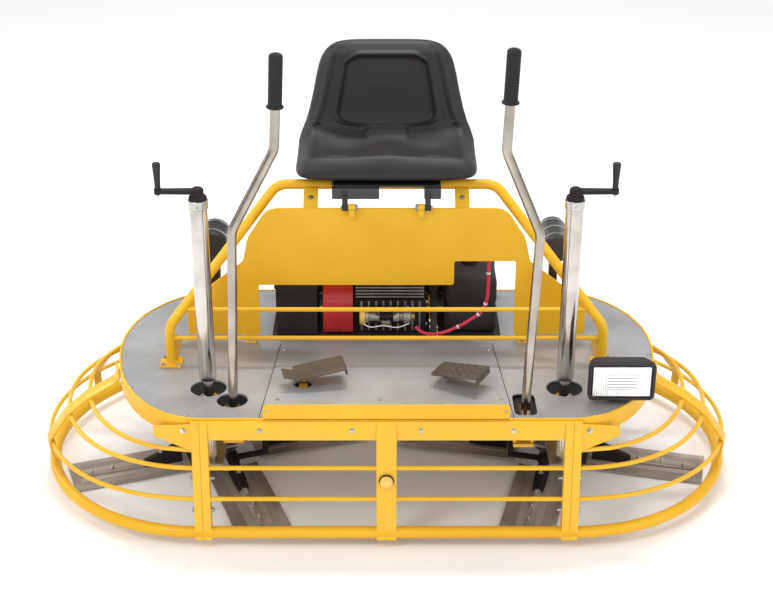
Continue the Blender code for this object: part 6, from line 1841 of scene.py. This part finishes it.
# ---------------------------------------------------------------- studio
@dataclass
class Studio:
    """A pale floor, soft lights and the camera."""

    target: Point = (0.0, 0.0, 0.505)
    elevation: float = 25.0
    distance: float = 4.18
    lens: float = 68.7
    ambient: float = 0.92

    def floor(self) -> None:
        """A wide flat floor, a hair below the blades."""
        run = np.linspace(-20, 40, 40)
        rise = np.full(40, -0.0005)
        x = np.linspace(-30, 30, 20)
        points = np.stack([np.broadcast_to(x, (40, 20)), np.repeat(run[:, None], 20, 1),
                           np.repeat(rise[:, None], 20, 1)], -1)
        sheet = grid(points, wrap=False, caps=False)
        mesh = bpy.data.meshes.new("studio_floor")
        mesh.from_pydata(sheet.points.tolist(), [], sheet.faces)
        mesh.materials.append(FLOOR.material(cad=True))
        mesh.shade_smooth()
        ground = bpy.data.objects.new("studio_floor", mesh)
        bpy.context.scene.collection.objects.link(ground)

    def light(self, name: str, place: Point, size: tuple, energy: float, aim: Point = (0, 0, 0.45)) -> None:
        """A rectangular soft light aimed at a point.

        Args:
            name: its name.
            place: where it stands.
            size: width and height.
            energy: watts.
            aim: what it faces.
        """
        lamp = bpy.data.lights.new(name, "AREA")
        lamp.shape = "RECTANGLE"
        lamp.size, lamp.size_y = size
        lamp.energy = energy
        holder = bpy.data.objects.new(name, lamp)
        holder.location = place
        holder.rotation_euler = (Vector(aim) - Vector(place)).to_track_quat("-Z", "Y").to_euler()
        bpy.context.scene.collection.objects.link(holder)

    def sky(self, tree: bpy.types.NodeTree) -> None:
        """An even white room, with soft dark bands that only gloss picks up."""
        place = tree.nodes.new("ShaderNodeTexCoord")
        stretch = tree.nodes.new("ShaderNodeMapping")
        stretch.inputs["Scale"].default_value = (1.0, 1.0, 0.35)
        bands = tree.nodes.new("ShaderNodeTexNoise")
        bands.inputs["Scale"].default_value = 2.6
        bands.inputs["Detail"].default_value = 1.5
        level = tree.nodes.new("ShaderNodeMapRange")
        level.interpolation_type = "SMOOTHSTEP"
        for name, number in (("From Min", 0.42), ("From Max", 0.60), ("To Min", 0.05), ("To Max", 1.00)):
            level.inputs[name].default_value = number
        path = tree.nodes.new("ShaderNodeLightPath")
        pick = tree.nodes.new("ShaderNodeMix")
        pick.inputs[2].default_value = self.ambient
        tree.links.new(place.outputs["Generated"], stretch.inputs["Vector"])
        tree.links.new(stretch.outputs["Vector"], bands.inputs["Vector"])
        tree.links.new(bands.outputs[0], level.inputs["Value"])
        tree.links.new(path.outputs["Is Glossy Ray"], pick.inputs[0])
        tree.links.new(level.outputs["Result"], pick.inputs[3])
        tree.links.new(pick.outputs[0], tree.nodes["Background"].inputs["Strength"])
        tree.nodes["Background"].inputs["Color"].default_value = (1, 1, 1, 1)

    def build(self) -> None:
        """Set up the floor, lights, world and camera."""
        self.floor()
        self.light("key", (-2.2, -2.6, 4.0), (1.2, 1.2), 50)
        self.light("bay", (0.0, -4.2, 1.0), (2.0, 0.5), 4)
        self.light("fill", (3.4, -2.6, 2.4), (1.6, 2.4), 22)
        self.light("top", (0.2, 1.2, 4.4), (2.4, 0.30), 85)
        self.light("rim", (-3.6, 2.2, 2.2), (0.5, 2.2), 26)
        world = bpy.data.worlds.new("studio")
        world.use_nodes = True
        self.sky(world.node_tree)
        bpy.context.scene.world = world
        view = bpy.context.scene.view_settings
        view.view_transform = "Standard"
        view.look = "None"
        tilt = math.radians(self.elevation)
        place = Vector(self.target) + self.distance * Vector((0, -math.cos(tilt), math.sin(tilt)))
        data = bpy.data.cameras.new("camera")
        data.lens = self.lens
        data.sensor_width = 36.0
        camera = bpy.data.objects.new("camera", data)
        camera.location = place
        camera.rotation_euler = (math.radians(90 - self.elevation), 0, 0)
        bpy.context.scene.collection.objects.link(camera)
        bpy.context.scene.camera = camera


def main() -> None:
    """Build every sub-assembly in order."""
    logging.basicConfig(level=logging.INFO, format="%(message)s")
    Studio().build()
    GuardCage().build()
    Deck().build()
    FrontPanel().build()
    Arch().build()
    SteeringLever(-1, LEVER_ROOTS[-1], -0.390, -0.276, (-0.265, 1.301)).build()
    SteeringLever(1, LEVER_ROOTS[1], 0.386, 0.294, (0.303, 1.319)).build()
    for side in SIDES:
        LiftPost(side).build()
    Seat().build()
    Rotor(-1, 20.0).build()
    Rotor(1, -14.0).build()
    Headlight().build()
    for side in SIDES:
        Pedal(side, *PEDAL_POSTS[side], PEDAL_HEADINGS[side]).build()
    Engine().build()
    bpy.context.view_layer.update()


if __name__ == "__main__":
    main()
